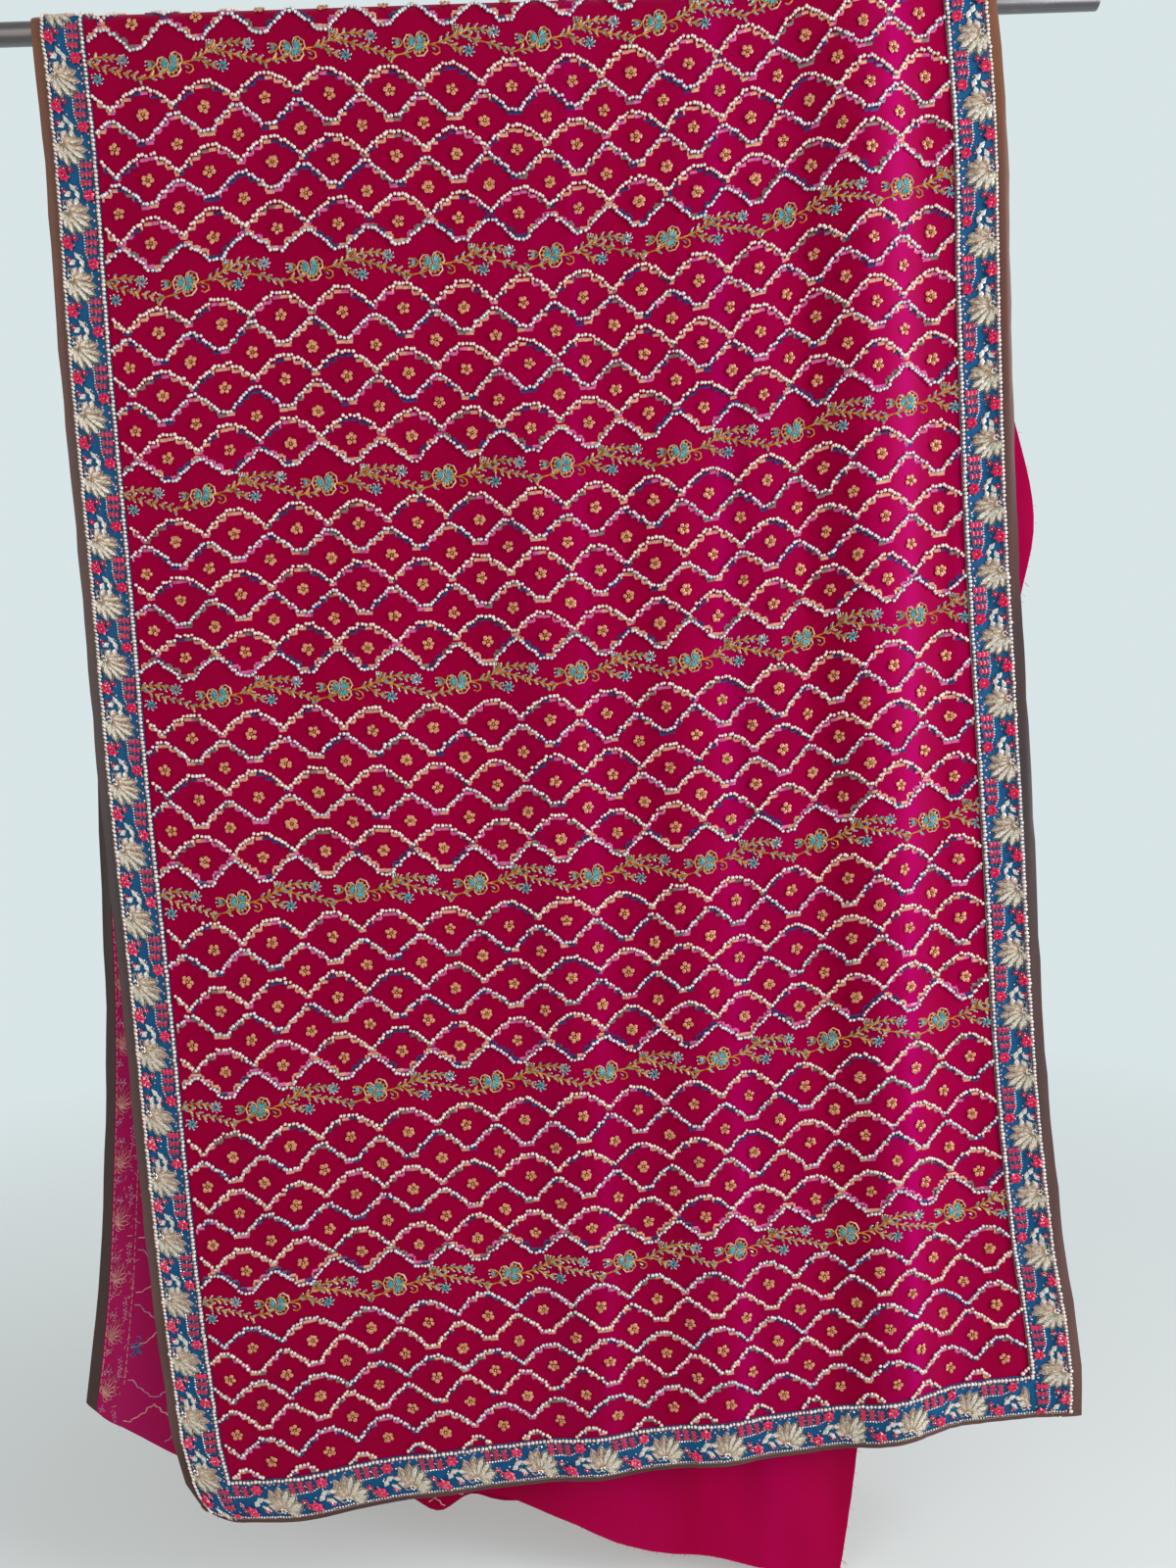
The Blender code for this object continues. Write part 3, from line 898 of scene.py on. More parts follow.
run_rows = np.concatenate([
    np.linspace(0.0, PLAIN_FRONT_DOWN, PLAIN_FLAP_ROWS)[:-1],
    PLAIN_FRONT_DOWN + np.linspace(0.0, PLAIN_OVER, PLAIN_BEND_ROWS)[:-1],
    PLAIN_FRONT_DOWN + PLAIN_OVER + np.linspace(0.0, PLAIN_LONGEST, PLAIN_BACK_ROWS),
])
middle = plain_point(*np.meshgrid(np.linspace(0.0, 1.0, PLAIN_COLUMNS), run_rows))
out_way = unit(np.cross(np.gradient(middle, axis=1), np.gradient(middle, axis=0)))
plain_layers = [middle + out_way * HALF_PLAIN_SHEET, middle - out_way * HALF_PLAIN_SHEET]
plain_points, plain_faces = closed_sheet(PLAIN_COLUMNS, len(run_rows), *plain_layers)
plain_silk = new_piece(
    "plain_silk_length", plain_points, plain_faces, PLAIN_SILK, SHEET_SHARP_ANGLE,
)
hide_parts("plain_length")

# %% [markdown]
# Finishes of the beads and threads. Glass beads are glossy with a coat, pearls are
# softer, and metal thread is metallic but rough. Slow noise varies each of them a
# little from bead to bead, as dyed glass and worn metal do.

# %% Bead and thread finishes
def bead_finish(name, dark, light, roughness, metallic, coat, grain=220.0):
    """A finish for beads or threads that drifts between two close colours."""
    shader = Shader(name, Roughness=roughness, Metallic=metallic, Coat_Weight=coat, Coat_Roughness=0.08)
    drift = shader.noise((grain, grain, grain), 1.0)
    shader.feed(Base_Color=shader.blend((drift - 0.3) * 2.2, dark, light))
    return shader.material


CREAM_PEARL = bead_finish("cream_pearl", (0.74, 0.55, 0.46), (1.00, 0.95, 0.89), 0.20, 0.0, 0.9, 300.0)
SILVER_BEAD = bead_finish("silver_bead", (0.44, 0.46, 0.54), (1.00, 1.00, 1.00), 0.18, 0.10, 0.9, 300.0)
TAUPE_THREAD = bead_finish("taupe_thread", (0.15, 0.095, 0.09), (0.30, 0.21, 0.19), 0.4, 0.1, 0.2)
PINK_THREAD = bead_finish("pink_thread", (0.46, 0.05, 0.22), (0.76, 0.19, 0.42), 0.34, 0.0, 0.3)
NAVY_THREAD = bead_finish("navy_thread", (0.010, 0.004, 0.060), (0.045, 0.015, 0.20), 0.3, 0.1, 0.3)
PEACH_THREAD = bead_finish("peach_thread", (0.58, 0.24, 0.15), (0.84, 0.45, 0.31), 0.35, 0.0, 0.3)
FLOWER_GOLD = bead_finish("flower_gold", (0.40, 0.095, 0.030), (0.90, 0.46, 0.23), 0.30, 0.05, 0.4, 520.0)
STEM_GOLD = bead_finish("stem_gold", (0.40, 0.14, 0.014), (0.82, 0.43, 0.075), 0.34, 0.15, 0.2)
SLATE_BUGLE = bead_finish("slate_bugle", (0.08, 0.16, 0.22), (0.34, 0.48, 0.55), 0.24, 0.15, 0.5)
BLUSH_TIP = bead_finish("blush_tip", (0.78, 0.40, 0.42), (0.95, 0.72, 0.72), 0.25, 0.0, 0.5)
TURQUOISE_FILL = bead_finish("turquoise_fill", (0.02, 0.20, 0.26), (0.10, 0.46, 0.52), 0.4, 0.0, 0.2)
OCHRE_FILL = bead_finish("ochre_fill", (0.38, 0.13, 0.01), (0.72, 0.40, 0.04), 0.4, 0.1, 0.2)
PALE_GOLD_CORD = bead_finish("pale_gold_cord", (0.66, 0.48, 0.28), (0.95, 0.84, 0.64), 0.32, 0.2, 0.2)
LOTUS_METAL = bead_finish("lotus_metal", (0.26, 0.21, 0.15), (0.74, 0.66, 0.52), 0.32, 0.35, 0.2, 420.0)
IVORY_PURL = bead_finish("ivory_purl", (0.40, 0.34, 0.26), (0.98, 0.94, 0.84), 0.30, 0.15, 0.3, 620.0)
LOTUS_ROSE = bead_finish("lotus_rose", (0.50, 0.28, 0.21), (0.86, 0.60, 0.48), 0.34, 0.2, 0.1, 420.0)
SILVER_LEAF = bead_finish("silver_leaf", (0.42, 0.40, 0.37), (1.00, 0.99, 0.96), 0.24, 0.20, 0.4, 620.0)
HOT_PINK = bead_finish("hot_pink", (0.50, 0.001, 0.045), (0.88, 0.010, 0.13), 0.35, 0.0, 0.3, 420.0)
CRIMSON_SEED = bead_finish("crimson_seed", (0.24, 0.001, 0.030), (0.66, 0.020, 0.12), 0.3, 0.0, 0.4, 420.0)
WHITE_SEED = bead_finish("white_seed", (0.70, 0.66, 0.62), (1.00, 0.98, 0.95), 0.15, 0.05, 0.8)
SEQUIN_PINK = bead_finish("sequin_pink", (0.62, 0.22, 0.24), (0.90, 0.48, 0.46), 0.18, 0.5, 0.5)
print("finishes made")

# %% [markdown]
# The scalloped lines. Half of one arch is a short stepped path, in millimetres; a
# mirrored copy completes it, and repeats run across the width. Beads are threaded on
# at even steps, then nudged a little, because they are sewn by hand.

# %% Bead lines
PERIOD = 0.0712
FIRST_CUSP = 0.0845
PERIODS = int(SAREE_WIDTH / PERIOD)
ROW_REPEAT = 0.2455
FIRST_VINE = 0.279
BANDS = int((LONGEST_V - FIRST_VINE) / ROW_REPEAT) + 3
BEAD_STEP = 4.6 * MM
BACK_BEAD_STEP = 5.4 * MM
LINE_PITCH = 0.0725
LINES_A_BAND = 3
ARCH_BELOW_VINE = 0.024
ZIG_BELOW_ARCH = 0.0325
HEM_ROW_LOWER = 0.006
CELL_FLOWER = 0.0285
HALF_DROP_FLOWER = 0.0655

# Half an arch from its middle to the cusp, and half a zigzag from peak to bowl
ARCH_HALF = (
    (0, 0), (9, 0.0), (11.5, -4.4), (18.5, -6.0), (21.5, -10.2), (26, -12.4), (28.5, -17.4), (32.8, -19.6),
    (35.6, -22.6),
)
ZIG_HALF = (
    (0, 0), (5.5, -0.3), (8, -4.6), (14, -7.4), (17, -12.0), (22.5, -14.4), (25.5, -20.0), (28.5, -23.2),
    (35.6, -23.6),
)

# Thread bars under a line: (distance from the middle, drop, length, height)
ARCH_STAIR = (
    (4.2, -4.8, 8.4, 3.2), (11.4, -8.4, 2.4, 5.2), (15.8, -10.6, 8.0, 3.2), (21.6, -14.0, 2.4, 5.6),
    (26.0, -16.8, 8.0, 3.2), (31.2, -21.0, 2.4, 6.2), (33.8, -25.0, 4.8, 3.4),
)
ZIG_STAIR = (
    (3.2, -4.8, 6.4, 3.2), (8.4, -8.0, 2.4, 5.6), (12.4, -11.2, 7.6, 3.2), (17.4, -14.8, 2.4, 6.0),
    (21.6, -17.8, 8.0, 3.2), (26.4, -22.4, 2.4, 7.2), (31.0, -27.2, 9.4, 3.6),
)

# Kinds of line: half its path, its bars, and how many periods before the first cusp it starts
LINES = {"arch": (ARCH_HALF, ARCH_STAIR, 1.5), "zig": (ZIG_HALF, ZIG_STAIR, 2.0)}

BARS = {"taupe": TAUPE_THREAD, "pink": PINK_THREAD, "navy": NAVY_THREAD, "peach": PEACH_THREAD}
BAR_CHANCES = {"peach": 0.42, "pink": 0.24, "taupe": 0.11, "navy": 0.23}
NEW_COLOUR = 0.7
BAR_TALL = 1.3 * MM
BAR_WIDER = 0.9
BAR_RAISE = 0.3
BARS_ABOVE = 7.5 * MM

# How far hand work strays: in slow waves as above, and from one bead or bar to the next
HAND_WAVES = ((1.1 * MM, 31, 57, 0), (0.8 * MM, 83, -21, 0))
BEAD_STRAY_ACROSS = 0.45 * MM
BEAD_STRAY_ALONG = 0.65 * MM
BAR_STRAY = 0.3 * MM
BEAD_FILL = 0.2
BEAD_SPREAD = 0.07


def first_middle(kind):
    """Where the middle of a line's first arch or peak is."""
    return FIRST_CUSP - PERIOD * LINES[kind][2]


def whole_line(kind):
    """A line across the width, in metres, from its half path in millimetres."""
    half = np.array(LINES[kind][0], float) * MM
    half[:, 0] = half[:, 0] * PERIOD / 2 / half[-1, 0]
    back = np.column_stack([PERIOD - half[:, 0], half[:, 1]])[::-1]
    one = np.concatenate([half[:-1], back[:-1]])
    return np.concatenate([one + (first_middle(kind) + k * PERIOD, 0.0) for k in range(PERIODS + 2)])


def thread_beads(path, step):
    """Even places along a path."""
    lengths = np.concatenate([[0.0], np.cumsum(np.linalg.norm(np.diff(path, axis=0), axis=1))])
    at = np.arange(0.0, lengths[-1], step)
    return np.column_stack([np.interp(at, lengths, path[:, k]) for k in (0, 1)])


def in_field(u, v, margin=2.2 * MM):
    """Which flat places lie on the open field, inside the ribbons."""
    inside = (u > FIELD_LEFT + margin) & (u < FIELD_RIGHT - margin)
    return inside & (v > FIELD_BOTTOM + margin) & (v < back_end(np.clip(u, 0.0, SAREE_WIDTH)) - 2 * MM)


def is_front(u, v):
    """Which flat places are on the front fall or the top of the rod."""
    return v < front_length(np.clip(u, 0.0, SAREE_WIDTH)) + OVER_LENGTH / 2


def arch_tops():
    """Every arch line: its band, its place in the band, and v of its top."""
    for band in range(BANDS):
        for place in range(LINES_A_BAND):
            yield band, place, FIRST_VINE + band * ROW_REPEAT - ARCH_BELOW_VINE - place * LINE_PITCH


def line_rows():
    """Every line: v of its top, kind, colour, and whether its bars lie above it."""
    rows = []
    for band, place, top in arch_tops():
        upper, lower = ("silver", "cream") if band == 0 else ("cream", "silver")
        last = place == LINES_A_BAND - 1
        at_hem = band == 0 and last
        zig_top = top - ZIG_BELOW_ARCH - (HEM_ROW_LOWER if at_hem else 0.0)
        rows.append((top, "arch", upper, False))
        rows.append((zig_top, "zig", lower, last and not at_hem))
    return rows


def sew_lines():
    """Fill the patches of beads and bars, front and back apart."""
    beads = {key: Patch() for key in ("cream front", "silver front", "cream back", "silver back")}
    bars = {f"{colour} {side}": Patch() for colour in BARS for side in ("front", "back")}
    for top, kind, colour, above in line_rows():
        for side, step, shape in (("front", BEAD_STEP, FINE_BEAD), ("back", BACK_BEAD_STEP, PLAIN_BEAD)):
            u, v = thread_beads(whole_line(kind), step).T
            drift = ripple(HAND_WAVES, u, top)
            u = u + rng.normal(0.0, BEAD_STRAY_ACROSS, len(u))
            v = v + top + rng.normal(0.0, BEAD_STRAY_ALONG, len(v)) + drift
            size = rng.normal(BEAD_FILL * step / MM, BEAD_SPREAD, len(u))
            pick = in_field(u, v) & (is_front(u, v) == (side == "front"))
            if pick.any():
                beads[f"{colour} {side}"].scatter(shape, u[pick], v[pick], 0.0, size[pick])
        sew_bars(bars, top, kind, above)
    return beads, bars


def sew_bars(bars, top, kind, above):
    """A stair of thread bars along one line, just under its beads or just above them."""
    middles = first_middle(kind) + PERIOD * np.arange(PERIODS + 3)
    count = len(middles)
    finishes = list(BAR_CHANCES)
    chances = list(BAR_CHANCES.values())
    shift = BARS_ABOVE if above else 0.0
    for turn_side in (-1, 1):
        choice = rng.choice(finishes, count, p=chances)
        for distance, drop, length, tall in LINES[kind][1]:
            run = length > tall
            if run:
                fresh = rng.choice(finishes, count, p=chances)
                choice = np.where(rng.random(count) < NEW_COLOUR, fresh, choice)
            u = middles + turn_side * distance * MM + rng.normal(0.0, BAR_STRAY, count)
            v = top + (drop + BAR_RAISE) * MM + shift + ripple(HAND_WAVES, u, top)
            v = v + rng.normal(0.0, BAR_STRAY, count)
            half = length * MM / 2
            size = (length * MM, (tall + BAR_WIDER) * MM, BAR_TALL)
            keep = in_field(u - half, v) & in_field(u + half, v)
            front = is_front(u, v)
            for finish in finishes:
                for side, here in (("front", front), ("back", ~front & run)):
                    pick = keep & here & (choice == finish)
                    if pick.any():
                        bars[f"{finish} {side}"].scatter(BAR, u[pick], v[pick], 0.0, size)


line_beads, line_bars = sew_lines()
for key, patch in line_beads.items():
    colour, side = key.split()
    finish = CREAM_PEARL if colour == "cream" else SILVER_BEAD
    patch.hung(f"{colour}_beads_{side}", finish, "embroidered_silk")
for key, patch in line_bars.items():
    colour, side = key.split()
    if patch.count:
        patch.hung(f"{colour}_bars_{side}", BARS[colour], "embroidered_silk")

# %% [markdown]
# Small flowers sit in the cells: five or six petals about a dark gold seed, round
# ones on the front fall and pointed ones behind. One flower is worked in code and
# repeated with its own turn, so no two are alike.

# %% Cell flowers
CELLS = range(-1, 16)
FLOWER_REACH = 1.8 * MM
FLOWER_STRAY = 0.9 * MM
FLOWER_MARGIN = 7 * MM
PETAL_SIZE = 1.10
PETAL_SPREAD = 0.08
PETAL_LEAN = 0.12
FIVE_PETALS = 0.7


def sew_flower(petals, hearts, shape, u, v, count):
    """One flower of padded petals."""
    start = rng.uniform(0.0, math.tau)
    angle = start + np.arange(count) * math.tau / count + rng.normal(0.0, PETAL_LEAN, count)
    size = rng.normal(PETAL_SIZE, PETAL_SPREAD, count)
    petals.scatter(shape, u - FLOWER_REACH * np.sin(angle), v + FLOWER_REACH * np.cos(angle), angle, size)
    hearts.scatter(SEED, u, v, 0.0, 1.3)


def sew_cell_flowers():
    """Flowers under every arch and between the bowls."""
    patches = {side: (Patch(), Patch()) for side in ("front", "back")}
    for _, place, top in arch_tops():
        between_bowls = [(top - HALF_DROP_FLOWER, 0.0)] if place < LINES_A_BAND - 1 else []
        for v_row, shift in [(top - CELL_FLOWER, 0.5)] + between_bowls:
            for cell in CELLS:
                u = FIRST_CUSP + (cell + shift) * PERIOD + rng.normal(0.0, FLOWER_STRAY)
                v = v_row + rng.normal(0.0, FLOWER_STRAY)
                if in_field(np.array([u]), v, FLOWER_MARGIN)[0]:
                    side = "front" if is_front(np.array([u]), v)[0] else "back"
                    shape = ROUND_PETAL if side == "front" else RICE
                    sew_flower(*patches[side], shape, u, v, 5 if rng.random() < FIVE_PETALS else 6)
    return patches


for side, (petals, hearts) in sew_cell_flowers().items():
    petals.hung(f"flower_petals_{side}", FLOWER_GOLD, "embroidered_silk")
    hearts.hung(f"flower_hearts_{side}", OCHRE_FILL, "embroidered_silk", SAREE_THICKNESS / 2 + 1.2 * MM)

# %% [markdown]
# The vine bands: a pansy, two buds, two rosettes and pairs of leaves on gold stems.
# The motif is drawn once as short tables in millimetres about the pansy's centre.
# Three versions of it, each a little uneven, are laid in random order along every
# band. The back fall has two plainer versions.

# %% Helpers for motifs
def placed(path, place, angle=0.0, size=1.0):
    """Turn a small path, in millimetres, and put it at a place; the result is in metres."""
    path = np.asarray(path, float) * size
    c, s = math.cos(angle), math.sin(angle)
    turned = np.column_stack([path[:, 0] * c - path[:, 1] * s, path[:, 0] * s + path[:, 1] * c])
    return (turned + place) * MM


def end_of(place, angle, reach):
    """The place at a reach from another one."""
    return np.asarray(place, float) + reach * np.array([-math.sin(angle), math.cos(angle)])


def sew_on(patch, shape, place, angle, size, height=0.0):
    """One bead at a place in millimetres."""
    patch.scatter(shape, place[0] * MM, place[1] * MM, angle, size, height)


def fan_out(patch, shape, place, angles, reach, size, height=0.0):
    """Long beads that start a little way out from a place, one at each angle."""
    for angle in angles:
        sew_on(patch, shape, end_of(place, angle, reach), angle, size, height)


def motif_of(finishes):
    """An empty motif with a patch for each finish."""
    return {finish: Patch() for finish in finishes}


def lay(work, motif, place, keep, mirrored=False):
    """Copy a motif's stitches to a place, wherever keep() says that there is room."""
    for finish, patch in motif.items():
        if not patch.count:
            continue
        starts = np.cumsum([0] + [len(points) for points in patch.points])
        laid = place(np.concatenate(patch.points))
        middles = np.add.reduceat(laid, starts[:-1]) / np.diff(starts)[:, None]
        stays = keep(middles[:, 0], middles[:, 1])
        for low, high, faces, stay in zip(starts[:-1], starts[1:], patch.faces, stays):
            if stay:
                own = faces - low
                work[finish].add(laid[low:high], own[:, ::-1] if mirrored else own)


# %% One repeat of the vine
VINE = {
    "gold": STEM_GOLD, "slate": SLATE_BUGLE, "blush": BLUSH_TIP, "turquoise": TURQUOISE_FILL,
    "ochre": OCHRE_FILL, "outline": PALE_GOLD_CORD,
}
PETAL = (
    (0, 0), (-5.2, 2.2), (-8.0, 6.4), (-6.8, 11.2), (-3.0, 12.6), (0, 14.0), (3.0, 12.6), (6.8, 11.2),
    (8.0, 6.4), (5.2, 2.2), (0, 0),
)
PETALS = (((-1.2, 0.6), 84), ((1.4, 1.0), -55), ((1.0, -1.0), -152))
CALYX = ((0.0, -1.0), (3.2, 2.2), (4.4, 7.4), (3.6, 9.6))
HOOK = ((13.5, -1), (20, -2.4), (25.5, -5.5), (26, -10.5), (21.5, -13), (17.5, -11))

# Stems, and how far apart the leaf pairs along them are
MAIN_STEM = (
    (-33.5, -13), (-25, -11.6), (-13, -10), (13.5, -1), (23.5, 1), (32, 2.6), (41, 6.7), (52, 7.7),
    (61, 5.3), (73.5, -0.2), (88, -4), (102, -9.5), (109, -13),
)
UPPER_STEM = ((41, 6.7), (52, 11.2), (64, 14.2), (75, 14.0), (84, 11))
LOWER_STEM = ((32, 2.6), (38, -2.7), (46, -7), (53, -9.5))
LEAF_STEP = 8.6
PLAIN_LEAF_STEP = 2.1 * LEAF_STEP
LEAFLESS_REACH = 17
LEAF_LOOK_AHEAD = 6
TURQUOISE_LEAF = 0.22
BLUSH_LEAF = 0.6

# Mean and spread of a leaf's lean from the stem, in degrees, and of its reach
LEAF_LEAN = (40, 7)
LEAF_REACH = (8.6, 0.8)

# How many versions of each motif there are, on the front and on the back fall
VERSIONS = 3
PLAIN_VERSIONS = 2

# Rosettes: (centre, finish, petals)
ROSETTES = (((91, 9), "slate", 8), ((60, -10.5), "turquoise", 7))


def sew_petal(motif, place, angle, fine):
    """One scalloped petal: a pale outline, ochre towards the rim, turquoise streaks at the heart."""
    outline = PETAL if fine else PETAL[::2] + (PETAL[-1],)
    motif["outline"].cord(placed(outline, place, angle), 1.7 * MM, 2.0 * MM)
    angles = angle + np.radians([-40, -14, 14, 40] if fine else [-30, 0, 30])
    fan_out(motif["ochre"], RICE, place, angles, 5.4, (0.95, 1.0, 0.6))
    angles = angle + np.radians([-36, -12, 12, 36] if fine else [0])
    fan_out(motif["turquoise"], BUGLE, place, angles, 0.8, (1.3, 1.35, 1.0), 0.9 * MM)


def sew_cup(motif, place, angle, size, fine):
    """A bud: two curved gold leaves round three slate bugles with blush tips."""
    for side in (-1, 1):
        leaf = [(side * a, b) for a, b in CALYX]
        motif["gold"].cord(placed(leaf, place, angle, size), 2.1 * MM, 1.5 * MM)
    for lean in (-0.42, 0.0, 0.42) if fine else (-0.28, 0.28):
        fan_out(motif["slate"], BUGLE, place, [angle + lean], 2.0, size * 1.1)
        sew_on(motif["blush"], SEED, end_of(place, angle + lean, 9.2 * size), 0.0, 1.05)


def sew_leaves(motif, stem, fine):
    """Pairs of leaves along a stem: a gold curve with a slate or turquoise bugle beside it."""
    for node in thread_beads(stem, LEAF_STEP if fine else PLAIN_LEAF_STEP)[1:]:
        if np.hypot(*node) < LEAFLESS_REACH:
            continue
        ahead = stem[np.argmin(np.abs(stem[:, 0] - node[0] - LEAF_LOOK_AHEAD))] - node
        along = math.atan2(-ahead[0], ahead[1])
        for side in (-1, 1):
            angle = along + side * math.radians(rng.normal(*LEAF_LEAN))
            reach = rng.normal(*LEAF_REACH)
            leaf = ((0, 0), (side * 1.9, 0.5 * reach), (side * 0.3, reach))
            motif["gold"].cord(placed(leaf if fine else leaf[::2], node, angle), 2.5 * MM, 1.7 * MM)
            finish = "turquoise" if rng.random() < TURQUOISE_LEAF else "slate"
            foot = end_of(node, angle - side * 0.25, 2.0)
            sew_on(motif[finish], BUGLE, foot, angle - side * 0.12, (1.35, 1.1, 1.0))
            if fine and rng.random() < BLUSH_LEAF:
                sew_on(motif["blush"], SEED, end_of(node, angle - side * 0.16, 8.8), 0.0, 0.95)


def vine_repeat(fine):
    """One repeat of the vine, slightly uneven as hand work is."""
    motif = motif_of(VINE)
    for centre, angle in PETALS:
        sew_petal(motif, centre, math.radians(angle) + rng.normal(0.0, 0.06), fine)
    for stem in (MAIN_STEM, UPPER_STEM, LOWER_STEM):
        stem = np.array(stem, float) + rng.normal(0.0, 0.4, (len(stem), 2))
        motif["gold"].cord(stem * MM, 1.6 * MM, 1.2 * MM)
        sew_leaves(motif, stem, fine)
    motif["gold"].cord(np.array(HOOK, float) * MM, 1.8 * MM, 1.4 * MM)
    sew_on(motif["slate"], BUGLE, (17, -4.6), math.radians(-130), 1.0)
    sew_cup(motif, (-17, 2), math.radians(92), 1.15, fine)
    sew_cup(motif, (46, 12), math.radians(-10), 0.8, fine)
    for centre, finish, petals in ROSETTES:
        angles = rng.uniform(0, 1) + np.arange(petals) * math.tau / petals
        fan_out(motif[finish], BUGLE, centre, angles, 0.8, (1.25, 0.95, 1.0))
        if fine:
            fan_out(motif["blush"], SEED, centre, angles + 0.2, 6.6, 1.0)
    return motif


FINE_VINES = [vine_repeat(True) for _ in range(VERSIONS)]
PLAIN_VINES = [vine_repeat(False) for _ in range(PLAIN_VERSIONS)]
print("a vine repeat has", sum(len(f) for p in FINE_VINES[0].values() for f in p.faces), "faces")


# %% Lay the vines
VINE_MARGIN = 2.5 * MM
VINE_STRAY = 0.7 * MM
VINE_CELLS = range(-1, 15, 2)


def lay_vines(versions, wanted):
    """Lay the vine bands on one side of the rod."""
    work = motif_of(VINE)

    def keep(u, v):
        return in_field(u, v, VINE_MARGIN) & (is_front(u, v) == wanted)

    for band in range(BANDS - 1):
        row = FIRST_VINE + band * ROW_REPEAT
        for cell in VINE_CELLS:
            u = FIRST_CUSP + cell * PERIOD + rng.normal(0.0, VINE_STRAY)
            shift = (u, row + ripple(HAND_WAVES, u, row), 0.0)
            motif = versions[int(rng.integers(len(versions)))]
            lay(work, motif, lambda points, shift=shift: points + shift, keep)
    return work


for side, versions, wanted in (("front", FINE_VINES, True), ("back", PLAIN_VINES, False)):
    for finish, patch in lay_vines(versions, wanted).items():
        if patch.count:
            patch.hung(f"vine_{finish}_{side}", VINE[finish], "embroidered_silk")

# %% [markdown]
# The ribbon's repeat: a lotus fan of couched metal thread, three pink clusters, two
# large and three small flowers and a bunch of silver leaves, between two rows of
# pearls. Here s runs along the ribbon and t from its outer edge inwards, both in
# millimetres.

# %% One repeat of the ribbon
RIBBON_WORK = {
    "metal": LOTUS_METAL, "rose": LOTUS_ROSE, "leaf": SILVER_LEAF, "pink": HOT_PINK, "seed": CRIMSON_SEED,
    "white": WHITE_SEED, "sequin": SEQUIN_PINK, "cord": PALE_GOLD_CORD, "ivory": IVORY_PURL,
}
RIBBON_REPEAT = 0.0764
END_RIBBON_REPEAT = 0.0800
LOTUS_BASE = (12.0, 9.0)

# Petals of the lotus: (direction in degrees from straight inwards, length)
IVORY_PETALS = ((-114, 16), (-92, 22), (-70, 27), (-49, 30), (-29, 32))
ROSY_PETALS = ((-9, 31), (11, 28), (33, 21), (58, 15))
INNER_PETALS = ((-80, 15), (-56, 18), (-32, 19), (-8, 18), (18, 15))
LOTUS_SEEDS = (-100, -50, 0, 50, 110, 170)
SCROLL = ((3, 1), (-3, -2.4), (-8, -3.6), (-10.5, -0.4), (-7, 1.2))
CLUSTERS = ((33.5, 37.0), (43.5, 37.0), (53.5, 35.5))
LEAVES = ((57.5, 15.0, -50), (62.0, 21.5, -75), (66.0, 15.5, -130), (70.5, 23.5, -100), (74.0, 16.5, -115))
LEAF_LOOP = ((0, 0), (-2.6, 5.4), (0, 10.4), (2.6, 5.4), (0, 0))
FLOWERS = ((68.0, 38.0, 1.50), (51.0, 9.0, 1.50))
SMALL_FLOWERS = ((69.0, 9.0), (43.0, 10.0), (41.0, 17.5))
SEQUINS = ((8.0, 42.5), (19.0, 42.0), (28.0, 43.0), (61.0, 44.0), (75.0, 43.0))
BEAD_CHAIN = ((31, 28.5), (55, 28.5), (66, 33))
BEAD_CHAIN_STEP = 3.3

# Loose seeds between the motifs: (finish, how many, lowest t, highest t)
LOOSE_SEEDS = (("rose", 12, 4, 33), ("white", 12, 4, 46), ("pink", 8, 4, 33), ("seed", 8, 20, 46))
PINK_CLUSTER = 0.25


def lotus_petal(motif, finish, fill, angle, length, wide):
    """A pointed loop of metal thread over a padded filling."""
    side = ((-wide / 2, 0.56 * length), (-wide / 2.3, 0.82 * length))
    loop = ((0, 3), *side, (0, length), *((-s, t) for s, t in side[::-1]), (0, 3))
    angle = math.radians(angle) + rng.normal(0.0, 0.05)
    motif[finish].cord(placed(loop, LOTUS_BASE, angle), 1.8 * MM, 2.1 * MM)
    foot = end_of(LOTUS_BASE, angle, 0.28 * length)
    sew_on(motif[fill], ROUND_PETAL, foot, angle, (wide / 7.0, length * 0.130, 0.8))


def little_flower(motif, finish, s, t, size, petals=6):
    """A raised flower of knotted thread round a white bead."""
    start = rng.uniform(0.0, math.tau)
    angles = start + np.arange(petals) * math.tau / petals
    fan_out(motif[finish], RICE, (s, t), angles, 0.4, (1.05 * size, 0.78 * size, 1.15 * size))
    sew_on(motif["white"], SEED, (s, t), 0.0, 0.9, 1.6 * MM)


def pink_cluster(motif, s, t, fine):
    """Three padded petals one above another, with sequins round them."""
    finish = "pink" if rng.random() < PINK_CLUSTER else "seed"
    for step in (-4.6, 0.0, 4.6):
        sew_on(motif[finish], ROUND_PETAL, (s - 3.9, t + step), math.radians(-90), (1.08, 1.6, 1.0))
    count = 6 if fine else 3
    around = np.arange(count) * math.tau / count
    motif["sequin"].scatter(SEED, (s + 4.4 * np.cos(around)) * MM, (t + 6.8 * np.sin(around)) * MM, 0.0, 0.80)


